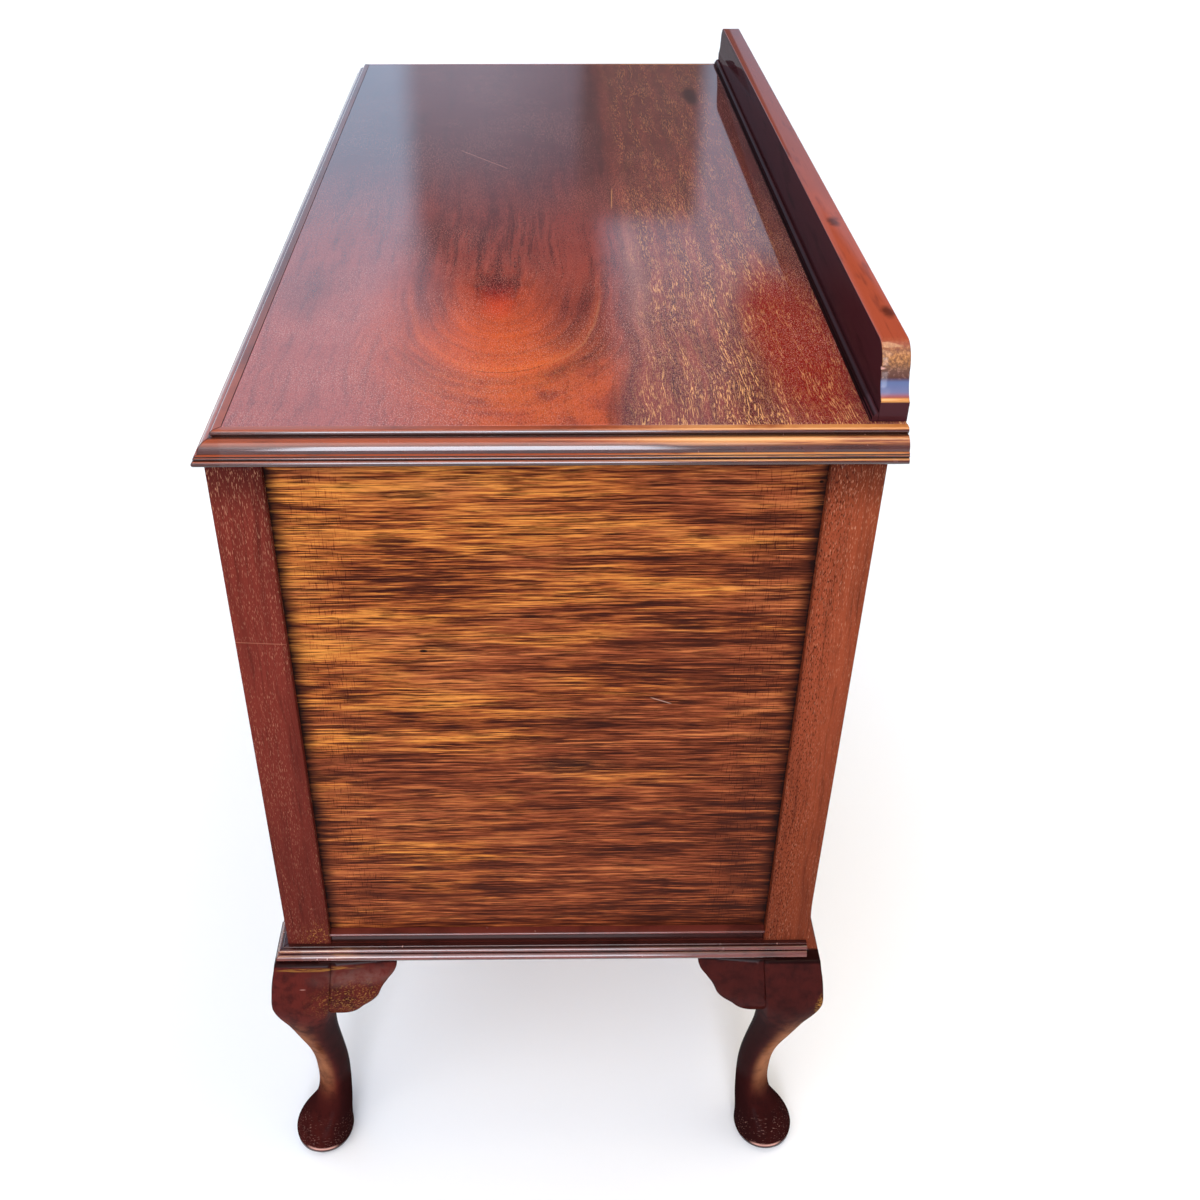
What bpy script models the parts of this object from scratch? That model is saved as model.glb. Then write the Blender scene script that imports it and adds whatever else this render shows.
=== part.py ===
"""A mahogany sideboard in the Queen Anne manner.

Two frieze drawers stand over a cupboard with two framed doors. The end frames are a panel between
corner posts that run down into cabriole legs, under a top with a moulded edge and a low gallery.

Axes: +Z is up, the front faces -Y and the length runs along X. The origin is on the floor, in the
middle of the four legs. All sizes are in metres.
"""

import bpy
import bmesh
from math import cos, pi, radians, sin
from mathutils import Matrix, Vector

# Clearance left between pieces that touch
GAP = 0.0003

# Case, measured over the outer faces of the corner posts
CASE_LENGTH = 1.055
CASE_DEPTH = 0.491
POST = 0.040
CASE_BOTTOM = 0.3045

# Top board and its moulded edge
TOP_HEIGHT = 0.862
TOP_THICK = 0.0225
EDGE_OUT = 0.0203
EDGE_BEAD_R = 0.0024
EDGE_SMALL_BEAD_R = 0.0009
EDGE_SMALL_BEAD_IN = 0.0015
EDGE_STEP = 0.0020
EDGE_OVOLO_OUT = 0.0090
EDGE_LIP_R = 0.0024
QUIRK = 0.0004
END_OVERHANG = 0.006
FRONT_OVERHANG = 0.0075
BACK_OVERHANG = 0.0137

# Gallery along the back of the top
GALLERY_HIGH = 0.052
GALLERY_THICK = 0.0208
GALLERY_END_IN = 0.003
GALLERY_END_RUN = 0.031
GALLERY_FOOT_HIGH = 0.016
BEAD_WIDE = 0.0053
BEAD_HIGH = 0.007

# Base moulding round the foot of the case
BASE_HIGH = 0.0149
BASE_OUT = 0.011
BASE_BEAD_R = 0.0042
BASE_UPPER_BEAD_R = 0.0024
BASE_FILLET = 0.0043

# Rails between the corner posts
RAIL_SHOW = 0.0116
RAIL_THICK = 0.020
RAIL_STEP = 0.004
RAIL_NOSE_R = 0.0014
TOP_RAIL_HIGH = 0.020
MIDDLE_RAIL_HIGH = 0.020

# End panels and back panel, with the rebates that hold them
PANEL_THICK = 0.008
PANEL_RECESS = 0.008
PANEL_LAP = 0.008
BACK_THICK = 0.006
BACK_INSET = 0.0015
BOTTOM_THICK = 0.015
DUST_THICK = 0.012

# Cabriole leg: its foot, ankle and knee, measured from the centre of the post
FOOT_HIGH = 0.033
KNEE_OUT = 0.0450
KNEE_HEIGHT = 0.248
KNEE_TOP_OUT = 0.0333
CALF_IN = 0.0135
ANKLE_OUT = 0.0137
ANKLE_IN = 0.0196
ANKLE_HEIGHT = 0.078
FOOT_OUT = 0.0425
FOOT_IN = 0.0185
FEET_FORWARD = 0.0042
FLARE_HIGH = 0.028
SHOULDER_FALL = 0.0008

# Ears beside the knees
EAR_REACH = 0.082
EAR_DROP = 0.0795
EAR_TIP_OUT = 0.027
EAR_LEG_OUT = 0.031
EAR_SWELL = 0.006
EAR_EDGE_ROUND = 0.0025
EAR_BACK = -0.004

# Drawers
DRAWER_OPENING_HIGH = 0.105
DIVIDER_THICK = 0.020
DRAWER_SIDE_GAP = 0.001
DRAWER_TOP_GAP = 0.0015
DRAWER_FOOT_GAP = 0.0008
DRAWER_FRONT_THICK = 0.022
DRAWER_BACK_ROOM = 0.035
DRAWER_SIDE_THICK = 0.010
DRAWER_SIDE_DOWN = 0.013
DRAWER_BACK_THICK = 0.010
DRAWER_BACK_DOWN = 0.006
DRAWER_BOTTOM_THICK = 0.005
DRAWER_BOTTOM_UP = 0.008
DRAWER_GROOVE = 0.005

# Doors
DOOR_THICK = 0.019
DOOR_EDGE_GAP = 0.001
DOOR_MEET_GAP = 0.002
DOOR_TOP_GAP = 0.0015
DOOR_FRAME_WIDE = 0.052
DOOR_LIP = 0.008
DOOR_PANEL_THICK = 0.008

# Butt hinges on the doors
HINGE_HIGH = 0.050
HINGE_LEAF = 0.0012
HINGE_LEAF_BACK = 0.0025
HINGE_BARREL_R = 0.003
HINGE_PIN_R = 0.0013
HINGE_PLAY = 0.0004
HINGE_CLEAR = 0.0006
HINGE_AT = 0.24

# Brass handles: a plate with two posts, and a bail that swings in them
PLATE_THICK = 0.0015
PLATE_BORDER_X = 0.014
HANDLE_POST_R = 0.0042
HANDLE_POST_TIP = 0.004
BAIL_R = 0.0017
BAIL_PLAY = 0.0005
BAIL_AXIS_OUT = 0.0085
BAIL_BEYOND = 0.008
DRAWER_HANDLE_SPAN = 0.064
DRAWER_HANDLE_DROP = 0.028
DRAWER_PLATE_HIGH = 0.038
DRAWER_HANDLE_UP = 0.004
DOOR_HANDLE_SPAN = 0.022
DOOR_HANDLE_DROP = 0.024
DOOR_PLATE_HIGH = 0.046
DOOR_HANDLE_DOWN = 0.133

# Faces and heights worked out from the sizes above
POST_X = CASE_LENGTH / 2
POST_Y = CASE_DEPTH / 2
INNER_X = POST_X - POST
INNER_Y = POST_Y - POST
LEG_X = POST_X - POST / 2
LEG_Y = POST_Y - POST / 2
HALF_POST = POST / 2
CASE_TOP = TOP_HEIGHT - TOP_THICK
TOP_X = POST_X + END_OVERHANG - EDGE_OUT
TOP_FRONT = -POST_Y - FRONT_OVERHANG + EDGE_OUT
TOP_BACK = POST_Y + BACK_OVERHANG
BASE_TOP = CASE_BOTTOM + BASE_HIGH
RAIL_TOP = BASE_TOP + RAIL_SHOW
DRAWER_CEILING = CASE_TOP - TOP_RAIL_HIGH
DRAWER_FLOOR = DRAWER_CEILING - DRAWER_OPENING_HIGH
DOOR_CEILING = DRAWER_FLOOR - MIDDLE_RAIL_HIGH
BACK_FACE = POST_Y - BACK_INSET - BACK_THICK
GALLERY_FRONT = TOP_BACK - GALLERY_THICK
PANEL_FACE = POST_X - PANEL_RECESS
PANEL_GROOVE = PANEL_FACE - PANEL_THICK - 2 * GAP
DRAWER_SIDE_HIGH = DRAWER_OPENING_HIGH - DRAWER_SIDE_DOWN
DRAWER_END = BACK_FACE - DRAWER_BACK_ROOM
DOOR_FOOT = RAIL_TOP + DOOR_TOP_GAP
DOOR_HEAD = DOOR_CEILING - DOOR_TOP_GAP
HINGE_LEAF_DEEP = DOOR_THICK - HINGE_LEAF_BACK
HINGE_BORE_R = HINGE_PIN_R + HINGE_PLAY
HINGE_OFF = HINGE_BARREL_R + HINGE_CLEAR
BAIL_HOLE_R = BAIL_R + BAIL_PLAY
HANDLE_POST_OUT = BAIL_AXIS_OUT + HANDLE_POST_TIP

# Sides of the object: its sign on X or Y
SIDES = {"left": -1, "right": 1}
ENDS = {"front": -1, "back": 1}


# Materials
def srgb(code):
    """Linear colour of an sRGB hex code."""
    values = [int(code[i:i + 2], 16) / 255 for i in (1, 3, 5)]
    return [v / 12.92 if v <= 0.04045 else ((v + 0.055) / 1.055) ** 2.4 for v in values] + [1.0]


def finish(name, code, roughness, metallic=0.0):
    material = bpy.data.materials.new(name)
    material.use_nodes = True
    shader = material.node_tree.nodes["Principled BSDF"]
    shader.inputs["Base Color"].default_value = srgb(code)
    shader.inputs["Roughness"].default_value = roughness
    shader.inputs["Metallic"].default_value = metallic
    material.diffuse_color = srgb(code)
    return material


def make_finishes():
    return {
        "top_veneer": finish("top_veneer", "#8c2f22", 0.12),
        "moulding": finish("moulding", "#7a3a24", 0.2),
        "gallery": finish("gallery", "#3f1d1c", 0.15),
        "post": finish("post", "#6e3324", 0.3),
        "leg": finish("leg", "#45201c", 0.3),
        "panel": finish("panel", "#9a5a26", 0.25),
        "front": finish("front", "#7c3a22", 0.25),
        "inner_wood": finish("inner_wood", "#a9794a", 0.6),
        "brass": finish("brass", "#b08a45", 0.3, 1.0),
    }


# Mesh helpers
def new_object(name, mesh_builder, material, smooth_angle=30):
    """Close the bmesh into an object with one material and smooth shading below an angle."""
    bmesh.ops.recalc_face_normals(mesh_builder, faces=mesh_builder.faces)
    mesh = bpy.data.meshes.new(name)
    mesh_builder.to_mesh(mesh)
    mesh_builder.free()
    if material:
        mesh.materials.append(material)
    mesh.shade_smooth()
    mesh.set_sharp_from_angle(angle=radians(smooth_angle))
    made = bpy.data.objects.new(name, mesh)
    bpy.context.collection.objects.link(made)
    return made


def loft_into(builder, rings):
    """Join rings of equal point counts, with every diagonal the same way, and close both ends."""
    rows = [[builder.verts.new(point) for point in ring] for ring in rings]
    count = len(rows[0])
    for low, high in zip(rows, rows[1:]):
        for i in range(count):
            j = (i + 1) % count
            builder.faces.new((low[i], low[j], high[j]))
            builder.faces.new((low[i], high[j], high[i]))
    builder.faces.new(rows[0])
    builder.faces.new(rows[-1])


def loft(name, rings, material, smooth_angle=30):
    builder = bmesh.new()
    loft_into(builder, rings)
    return new_object(name, builder, material, smooth_angle)


def board(name, low, high, material, edge=0.0006):
    """A rectangular board from corner to corner, with its arrises taken off."""
    builder = bmesh.new()
    size = [b - a for a, b in zip(low, high)]
    middle = [(a + b) / 2 for a, b in zip(low, high)]
    bmesh.ops.create_cube(builder, size=1.0)
    bmesh.ops.scale(builder, vec=size, verts=builder.verts)
    bmesh.ops.translate(builder, vec=middle, verts=builder.verts)
    if edge:
        bmesh.ops.bevel(builder, geom=list(builder.edges), offset=edge, offset_type="OFFSET",
                        segments=1, profile=0.5, affect="EDGES", material=-1)
    return new_object(name, builder, material)


def cutter(low, high):
    """A plain box that cuts other pieces, given by any two corners."""
    made = board("cutter", [min(a, b) for a, b in zip(low, high)],
                 [max(a, b) for a, b in zip(low, high)], None, edge=0)
    made.hide_render = True
    made.display_type = "WIRE"
    return made


def combine(piece, others, operation):
    """Cut the other solids out of the piece, or join them to it, for good, and remove them."""
    for other in others:
        modifier = piece.modifiers.new("combine", "BOOLEAN")
        modifier.operation = operation
        modifier.solver = "EXACT"
        modifier.object = other
    graph = bpy.context.evaluated_depsgraph_get()
    new_mesh = bpy.data.meshes.new_from_object(piece.evaluated_get(graph))
    new_mesh.name = piece.name
    piece.modifiers.clear()
    old_mesh = piece.data
    piece.data = new_mesh
    bpy.data.meshes.remove(old_mesh)
    for other in others:
        mesh = other.data
        bpy.data.objects.remove(other)
        bpy.data.meshes.remove(mesh)
    return piece


def hang(name, place, pieces, carrier=None):
    """Put an empty on a joint's axis and hang pieces on it, each with its origin there."""
    pivot = bpy.data.objects.new(name, None)
    bpy.context.collection.objects.link(pivot)
    pivot.location = place
    if carrier:
        pivot.parent = carrier
        pivot.location = Vector(place) - carrier.location
    for piece in pieces:
        piece.data.transform(Matrix.Translation(-Vector(place)))
        piece.parent = pivot
    return pivot


def oval_arc(centre, across, up, start, end, steps):
    """Points on an oval arc, angles in degrees counter-clockwise."""
    points = []
    for i in range(steps + 1):
        turn = radians(start + (end - start) * i / steps)
        points.append((centre[0] + across * cos(turn), centre[1] + up * sin(turn)))
    return points


def arc(centre, radius, start, end, steps):
    return oval_arc(centre, radius, radius, start, end, steps)


def fair(position, table):
    """Value at a position on a smooth curve through (position, value) rows with rising positions."""
    if position <= table[0][0]:
        return table[0][1]
    if position >= table[-1][0]:
        return table[-1][1]
    last = len(table) - 1
    i = max(k for k in range(last) if table[k][0] <= position)

    def slope(k):
        before, after = table[max(k - 1, 0)], table[min(k + 1, last)]
        return (after[1] - before[1]) / (after[0] - before[0])

    (a, va), (b, vb) = table[i], table[i + 1]
    step = b - a
    t = (position - a) / step
    return ((2 * t ** 3 - 3 * t ** 2 + 1) * va + (t ** 3 - 2 * t ** 2 + t) * step * slope(i)
            + (3 * t ** 2 - 2 * t ** 3) * vb + (t ** 3 - t ** 2) * step * slope(i + 1))


# Moulding strips
def edge_profile():
    """Section of the top's edge as (outward, up): bead, small bead, step, ovolo and lip."""
    bead, small, lip = EDGE_BEAD_R, EDGE_SMALL_BEAD_R, EDGE_LIP_R
    small_x = EDGE_OUT - EDGE_SMALL_BEAD_IN - small
    small_up = 2 * bead + QUIRK + small
    step_up = small_up + small + QUIRK
    ovolo_x = small_x - EDGE_STEP
    ovolo_up = step_up + 2 * QUIRK
    lip_x = ovolo_x - EDGE_OVOLO_OUT - lip
    lip_up = TOP_THICK - lip
    quirk_up = lip_up - lip
    return ([(0, 0), (EDGE_OUT - bead, 0)]
            + arc((EDGE_OUT - bead, bead), bead, -90, 100, 6)
            + [(small_x, 2 * bead + QUIRK)]
            + arc((small_x, small_up), small, -60, 80, 3)
            + [(small_x, step_up), (small_x, step_up + QUIRK), (ovolo_x + QUIRK, ovolo_up)]
            + oval_arc((ovolo_x - EDGE_OVOLO_OUT, ovolo_up), EDGE_OVOLO_OUT, quirk_up - ovolo_up - 2 * QUIRK,
                       0, 90, 7)
            + [(lip_x + lip / 2, quirk_up - QUIRK)]
            + arc((lip_x, lip_up), lip, -50, 90, 5)
            + [(0, TOP_THICK - GAP)])


def base_profile():
    """Section of the base moulding as (outward, up): two beads under a fillet."""
    lower, upper = BASE_BEAD_R, BASE_UPPER_BEAD_R
    lower_x = BASE_OUT - lower
    upper_x = lower_x - 2 * QUIRK
    upper_up = 2 * lower + QUIRK + upper
    return ([(0, 0), (lower_x, 0)]
            + arc((lower_x, lower), lower, -90, 90, 6)
            + [(upper_x, 2 * lower + QUIRK)]
            + arc((upper_x, upper_up), upper, -80, 90, 5)
            + [(BASE_FILLET, upper_up + upper), (BASE_FILLET, BASE_HIGH - QUIRK)]
            + [(BASE_FILLET - QUIRK, BASE_HIGH), (0, BASE_HIGH)])


def strip(name, profile, place, start, end, start_mitre, end_mitre, material):
    """A moulding along a straight line. A mitred end is longer by the outward distance."""
    rings = []
    for along, mitre, side in ((start, start_mitre, -1), (end, end_mitre, 1)):
        ring = []
        for outward, up in profile:
            shift = side * (outward - GAP) if mitre else 0
            ring.append(place(along + shift, outward, up))
        rings.append(ring)
    return loft(name, rings, material, smooth_angle=35)


def front_place(face, foot):
    return lambda along, outward, up: (along, face - outward, foot + up)


def end_place(side, face, foot):
    return lambda along, outward, up: (side * (face + outward), along, foot + up)


def make_top(finishes):
    board("top_board", (-TOP_X, TOP_FRONT, CASE_TOP), (TOP_X, TOP_BACK, TOP_HEIGHT),
          finishes["top_veneer"], edge=0.0004)
    profile = edge_profile()
    strip("top_moulding_front", profile, front_place(TOP_FRONT - GAP, CASE_TOP),
          -TOP_X, TOP_X, True, True, finishes["moulding"])
    for side, sign in SIDES.items():
        strip("top_moulding_" + side, profile, end_place(sign, TOP_X + GAP, CASE_TOP),
              TOP_FRONT, TOP_BACK, True, False, finishes["moulding"])


def gallery_end():
    """End of the gallery as (inward, up): a foot, a hollow and a round shoulder."""
    run, foot = GALLERY_END_RUN, GALLERY_FOOT_HIGH
    shoulder = GALLERY_HIGH - foot
    shape = ((0.026, 0.02), (0.11, 0.10), (0.21, 0.22), (0.28, 0.36), (0.37, 0.56), (0.47, 0.74),
             (0.61, 0.89), (0.78, 0.97), (1.0, 1.0))
    return [(0, 0), (0, foot)] + [(run * inward, foot + shoulder * up) for inward, up in shape]


def make_gallery(finishes):
    half = TOP_X - GALLERY_END_IN
    foot = TOP_HEIGHT + GAP
    right = [(half - inward, foot + up) for inward, up in gallery_end()]
    left = [(-x, z) for x, z in reversed(right)]
    outline = right + left
    rings = [[(x, y, z) for x, z in outline] for y in (GALLERY_FRONT, TOP_BACK)]
    loft("gallery_board", rings, finishes["gallery"], smooth_angle=40)
    back = GALLERY_FRONT - GAP
    section = ([(back, foot), (back, foot + BEAD_HIGH)]
               + [(back - BEAD_WIDE * share, foot + BEAD_HIGH * up)
                  for share, up in ((0.35, 0.95), (0.6, 0.72), (0.72, 0.5), (1.0, 0.34), (1.0, 0.0))])
    rings = [[(x, y, z) for y, z in section] for x in (-half, half)]
    loft("gallery_bead", rings, finishes["gallery"])


def make_base_mouldings(finishes):
    profile = base_profile()
    strip("base_moulding_front", profile, front_place(-POST_Y - GAP, CASE_BOTTOM),
          -POST_X, POST_X, True, True, finishes["moulding"])
    for side, sign in SIDES.items():
        strip("base_moulding_" + side, profile, end_place(sign, POST_X + GAP, CASE_BOTTOM),
              -POST_Y, POST_Y, True, False, finishes["moulding"])


# Leg posts
LEG_POINTS = 24


def spaced(start, end, rows, low=0.0, high=1.0):
    """Rows of shares set between two heights and two values."""
    return [(start + (end - start) * share, low + (high - low) * part) for share, part in rows]


def leg_outer():
    """Distance of the leg's outer face from the post's centre, by height."""
    foot = [(0.0, 0.83), (0.16, 0.955), (0.40, 1.0), (0.70, 0.945), (1.0, 0.78)]
    pastern = [(0.24, 0.53), (0.56, 0.14)]
    calf = [(0.0, 0.0), (0.14, 0.0), (0.28, 0.045), (0.435, 0.215), (0.588, 0.46), (0.735, 0.675),
            (0.87, 0.885), (1.0, 1.0)]
    shoulder = [(0.35, 0.23), (0.73, 0.72), (1.0, 1.0)]
    return (spaced(0.0, FOOT_HIGH, foot, ANKLE_IN - ANKLE_OUT, FOOT_OUT)
            + spaced(FOOT_HIGH, ANKLE_HEIGHT, pastern, ANKLE_OUT, FOOT_OUT - FOOT_IN / 2)
            + spaced(ANKLE_HEIGHT, KNEE_HEIGHT, calf, ANKLE_OUT, KNEE_OUT)
            + spaced(KNEE_HEIGHT, CASE_BOTTOM, shoulder, KNEE_OUT, KNEE_TOP_OUT))


def leg_inner():
    """Distance of the leg's inner face from the post's centre, by height, inwards below zero."""
    foot = [(0.0, 0.70), (0.40, 1.0), (0.70, 0.985)]
    calf = [(0.0, 0.0), (0.18, 0.03), (0.41, 0.62), (0.588, 1.0), (0.79, 0.90), (1.0, 0.35)]
    return (spaced(0.0, FOOT_HIGH, foot, 0.0, -FOOT_IN)
            + spaced(ANKLE_HEIGHT, KNEE_HEIGHT, calf, -ANKLE_IN, -CALF_IN)
            + [(CASE_BOTTOM, -HALF_POST)])


def leg_squareness():
    """How square the leg's section is, by height: 0 is round and 1 is square."""
    return (spaced(ANKLE_HEIGHT, KNEE_HEIGHT, [(0.54, 0.0), (0.735, 0.10), (0.88, 0.26), (1.0, 0.45)])
            + spaced(KNEE_HEIGHT, CASE_BOTTOM, [(0.5, 0.78), (1.0, 1.0)]))


def leg_lean(height):
    """How far the leg stands forward of its post, by height."""
    rows = [(0.0, 1.0), (0.30, 0.85), (0.65, 0.35), (1.0, 0.0)]
    return fair(height, [(0.0, FEET_FORWARD)] + spaced(ANKLE_HEIGHT, KNEE_HEIGHT, rows, 0.0, FEET_FORWARD))


def leg_ring(height, span_a, span_b, squareness):
    """One section of the leg as (outward on X, outward on Y, height)."""
    ring = []
    for i in range(LEG_POINTS):
        turn = 2 * pi * i / LEG_POINTS
        c, s = cos(turn), sin(turn)
        reach = (1 - squareness) + squareness / max(abs(c), abs(s))
        a = (span_a[0] + span_a[1]) / 2 + (span_a[1] - span_a[0]) / 2 * c * reach
        b = (span_b[0] + span_b[1]) / 2 + (span_b[1] - span_b[0]) / 2 * s * reach
        ring.append((a, b, height))
    return ring


def leg_rings(is_back, grow=0.0):
    """Sections of a leg post from the floor up. Grow widens the leg, for a cutter."""
    outer, inner, square = leg_outer(), leg_inner(), leg_squareness()
    heights = [FOOT_HIGH * share for share in (0.0, 0.16, 0.40, 0.68, 1.0)]
    heights += [FOOT_HIGH + (ANKLE_HEIGHT - FOOT_HIGH) * share for share in (0.24, 0.5, 1.0)]
    steps = 12
    rise = CASE_BOTTOM - SHOULDER_FALL - ANKLE_HEIGHT
    heights += [ANKLE_HEIGHT + rise * i / steps for i in range(1, steps + 1)]
    rings = []
    for height in heights:
        span = (fair(height, inner) - grow, fair(height, outer) + grow)
        rings.append(leg_ring(height, span, span, fair(height, square)))
    post = (-HALF_POST - grow, HALF_POST + grow)
    flare = [(CASE_BOTTOM - GAP, KNEE_TOP_OUT), (BASE_TOP, HALF_POST + (KNEE_TOP_OUT - HALF_POST) * 0.56),
             (BASE_TOP + FLARE_HIGH, HALF_POST)]
    if is_back:
        for height, reach in flare:
            rings.append(leg_ring(height, post, (-HALF_POST - grow, reach + grow), 1.0))
    else:
        rings.append(leg_ring(CASE_BOTTOM - GAP, post, post, 1.0))
    rings.append(leg_ring(CASE_TOP - GAP, post, post, 1.0))
    return rings


def place_leg(rings, sign_x, sign_y):
    return [[(sign_x * (LEG_X + a), sign_y * (LEG_Y + b) - leg_lean(z), z) for a, b, z in ring]
            for ring in rings]


def make_leg_posts(finishes):
    for end, sign_y in ENDS.items():
        for side, sign_x in SIDES.items():
            rings = place_leg(leg_rings(end == "back"), sign_x, sign_y)
            post = loft("leg_post_%s_%s" % (end, side), rings, finishes["post"], smooth_angle=40)
            tools = [cutter((sign_x * PANEL_GROOVE, sign_y * (INNER_Y - POST), RAIL_TOP),
                            (sign_x * PANEL_FACE, sign_y * (INNER_Y + PANEL_LAP), CASE_TOP + POST))]
            if end == "back":
                tools.append(cutter((sign_x * (INNER_X - POST), BACK_FACE, CASE_BOTTOM),
                                    (sign_x * (INNER_X + PANEL_LAP), POST_Y + POST, CASE_TOP + POST)))
            else:
                for height in hinge_heights():
                    tools.append(post_hinge_recess(sign_x, height))
            combine(post, tools, "DIFFERENCE")


# Ears
def ear_low_edge():
    """Lower edge of an ear, scalloped: (distance from the post's centre, drop below the case)."""
    t, d = EAR_REACH, EAR_DROP
    return [(0.10 * t, 0.98 * d), (0.18 * t, 0.978 * d), (0.32 * t, 1.0 * d), (0.42 * t, 0.967 * d),
            (0.494 * t, 0.905 * d), (0.555 * t, 0.814 * d), (0.634 * t, 0.756 * d), (0.713 * t, 0.672 * d),
            (0.756 * t, 0.598 * d), (0.787 * t, 0.494 * d), (0.835 * t, 0.398 * d), (0.915 * t, 0.310 * d),
            (0.976 * t, 0.202 * d), (t, 0.091 * d)]


def ear_face(distance, drop):
    """How far the ear's face stands out from the post's centre."""
    near = 1 - max(0.0, min(1.0, (distance - HALF_POST) / (EAR_REACH - HALF_POST)))
    swell = EAR_SWELL * sin(pi * min(1.0, drop / EAR_DROP))
    return EAR_TIP_OUT + (EAR_LEG_OUT - EAR_TIP_OUT + swell) * near ** 0.8 + swell * 0.3


def ear_rings():
    """Sections of an ear from the leg to its tip, as (distance, outward, height)."""
    rings = []
    for distance, drop in ear_low_edge():
        points = [(EAR_BACK, GAP), (ear_face(distance, 0.0), GAP)]
        for share in (0.3, 0.6, 0.85):
            points.append((ear_face(distance, drop * share), drop * share))
        points.append((ear_face(distance, drop) - EAR_EDGE_ROUND, drop))
        points.append((EAR_BACK, drop))
        rings.append([(distance, outward, CASE_BOTTOM - fall) for outward, fall in points])
    return rings


def make_ear(name, sign_x, sign_y, runs_along_y, is_back, material):
    """An ear glued to a leg's inner side, cut back to the shape of the knee."""
    rings = []
    for ring in ear_rings():
        if runs_along_y:
            rings.append([(sign_x * (LEG_X + out), sign_y * (LEG_Y - far), z) for far, out, z in ring])
        else:
            rings.append([(sign_x * (LEG_X - far), sign_y * (LEG_Y + out), z) for far, out, z in ring])
    ear = loft(name, rings, material, smooth_angle=40)
    knee = loft("knee_cutter", place_leg(leg_rings(is_back, grow=GAP), sign_x, sign_y), None)
    combine(ear, [knee], "DIFFERENCE")


def make_ears(finishes):
    for end, sign_y in ENDS.items():
        for side, sign_x in SIDES.items():
            name = "leg_ear_%s_%s_end" % (end, side)
            make_ear(name, sign_x, sign_y, True, end == "back", finishes["leg"])
    for side, sign_x in SIDES.items():
        name = "leg_ear_front_%s_front" % side
        make_ear(name, sign_x, -1, False, False, finishes["leg"])


# Case panels and rails
def bottom_rail_profile():
    """Section of a bottom rail as (outward from the post's centre, height): a ledge over a recess."""
    face, back = HALF_POST - GAP, HALF_POST - RAIL_THICK
    neck = face - RAIL_STEP
    nose_up = RAIL_TOP - QUIRK - RAIL_NOSE_R
    return ([(back, CASE_BOTTOM + GAP), (face, CASE_BOTTOM + GAP), (face, BASE_TOP - GAP)]
            + [(neck, BASE_TOP + QUIRK), (neck, nose_up - RAIL_NOSE_R)]
            + arc((face - RAIL_NOSE_R, nose_up), RAIL_NOSE_R, -90, 70, 5)
            + [(HALF_POST - PANEL_RECESS - QUIRK, RAIL_TOP), (back, RAIL_TOP)])


def make_rails(finishes):
    profile = bottom_rail_profile()
    reach = INNER_Y - GAP
    for side, sign in SIDES.items():
        rings = [[(sign * (LEG_X + out), y, z) for out, z in profile] for y in (-reach, reach)]
        loft("end_rail_" + side, rings, finishes["moulding"])
    reach = INNER_X - GAP
    rings = [[(x, -LEG_Y - out, z) for out, z in profile] for x in (-reach, reach)]
    loft("front_bottom_rail", rings, finishes["moulding"])
    for name, low, high in (("front_top_rail", DRAWER_CEILING, CASE_TOP - GAP),
                            ("front_middle_rail", DOOR_CEILING, DRAWER_FLOOR)):
        board(name, (-reach, -POST_Y, low), (reach, -INNER_Y, high), finishes["front"])


def make_panels(finishes):
    for side, sign in SIDES.items():
        outer = PANEL_FACE - GAP
        low_x, high_x = sorted((sign * outer, sign * (outer - PANEL_THICK)))
        reach = INNER_Y + PANEL_LAP - GAP
        board("end_panel_" + side, (low_x, -reach, RAIL_TOP + GAP), (high_x, reach, CASE_TOP - GAP),
              finishes["panel"], edge=0)
    reach = INNER_X + PANEL_LAP - GAP
    board("back_panel", (-reach, BACK_FACE + GAP, CASE_BOTTOM + GAP),
          (reach, POST_Y - BACK_INSET, CASE_TOP - GAP), finishes["inner_wood"], edge=0)


def notched_board(name, half_x, front, back, low, high, material):
    """A board across the case, notched round the corner posts."""
    post_x = INNER_X - GAP
    front_y = -INNER_Y + GAP
    back_y = INNER_Y - GAP
    right = [(half_x, back_y), (post_x, back_y), (post_x, back)]
    if front < front_y:
        right = [(post_x, front), (post_x, front_y), (half_x, front_y)] + right
    else:
        right = [(half_x, front)] + right
    left = [(-x, y) for x, y in reversed(right)]
    rings = [[(x, y, z) for x, y in right + left] for z in (low, high)]
    return loft(name, rings, material)


def make_inside(finishes):
    rail_back = POST_X - RAIL_THICK - GAP
    notched_board("bottom_board", rail_back, -POST_Y + RAIL_THICK + GAP, BACK_FACE, RAIL_TOP - BOTTOM_THICK,
                  RAIL_TOP, finishes["inner_wood"])
    notched_board("dust_board", PANEL_GROOVE, -INNER_Y + GAP, BACK_FACE, DRAWER_FLOOR - DUST_THICK,
                  DRAWER_FLOOR, finishes["inner_wood"])
    half = DIVIDER_THICK / 2
    board("drawer_divider", (-half, -POST_Y, DRAWER_FLOOR + GAP), (half, BACK_FACE, DRAWER_CEILING - GAP),
          finishes["front"])


# Drawers
def drawer_span(sign):
    """Outer faces of a drawer on X, low first."""
    near = DIVIDER_THICK / 2 + DRAWER_SIDE_GAP
    far = INNER_X - DRAWER_SIDE_GAP
    return (near, far) if sign > 0 else (-far, -near)


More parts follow.
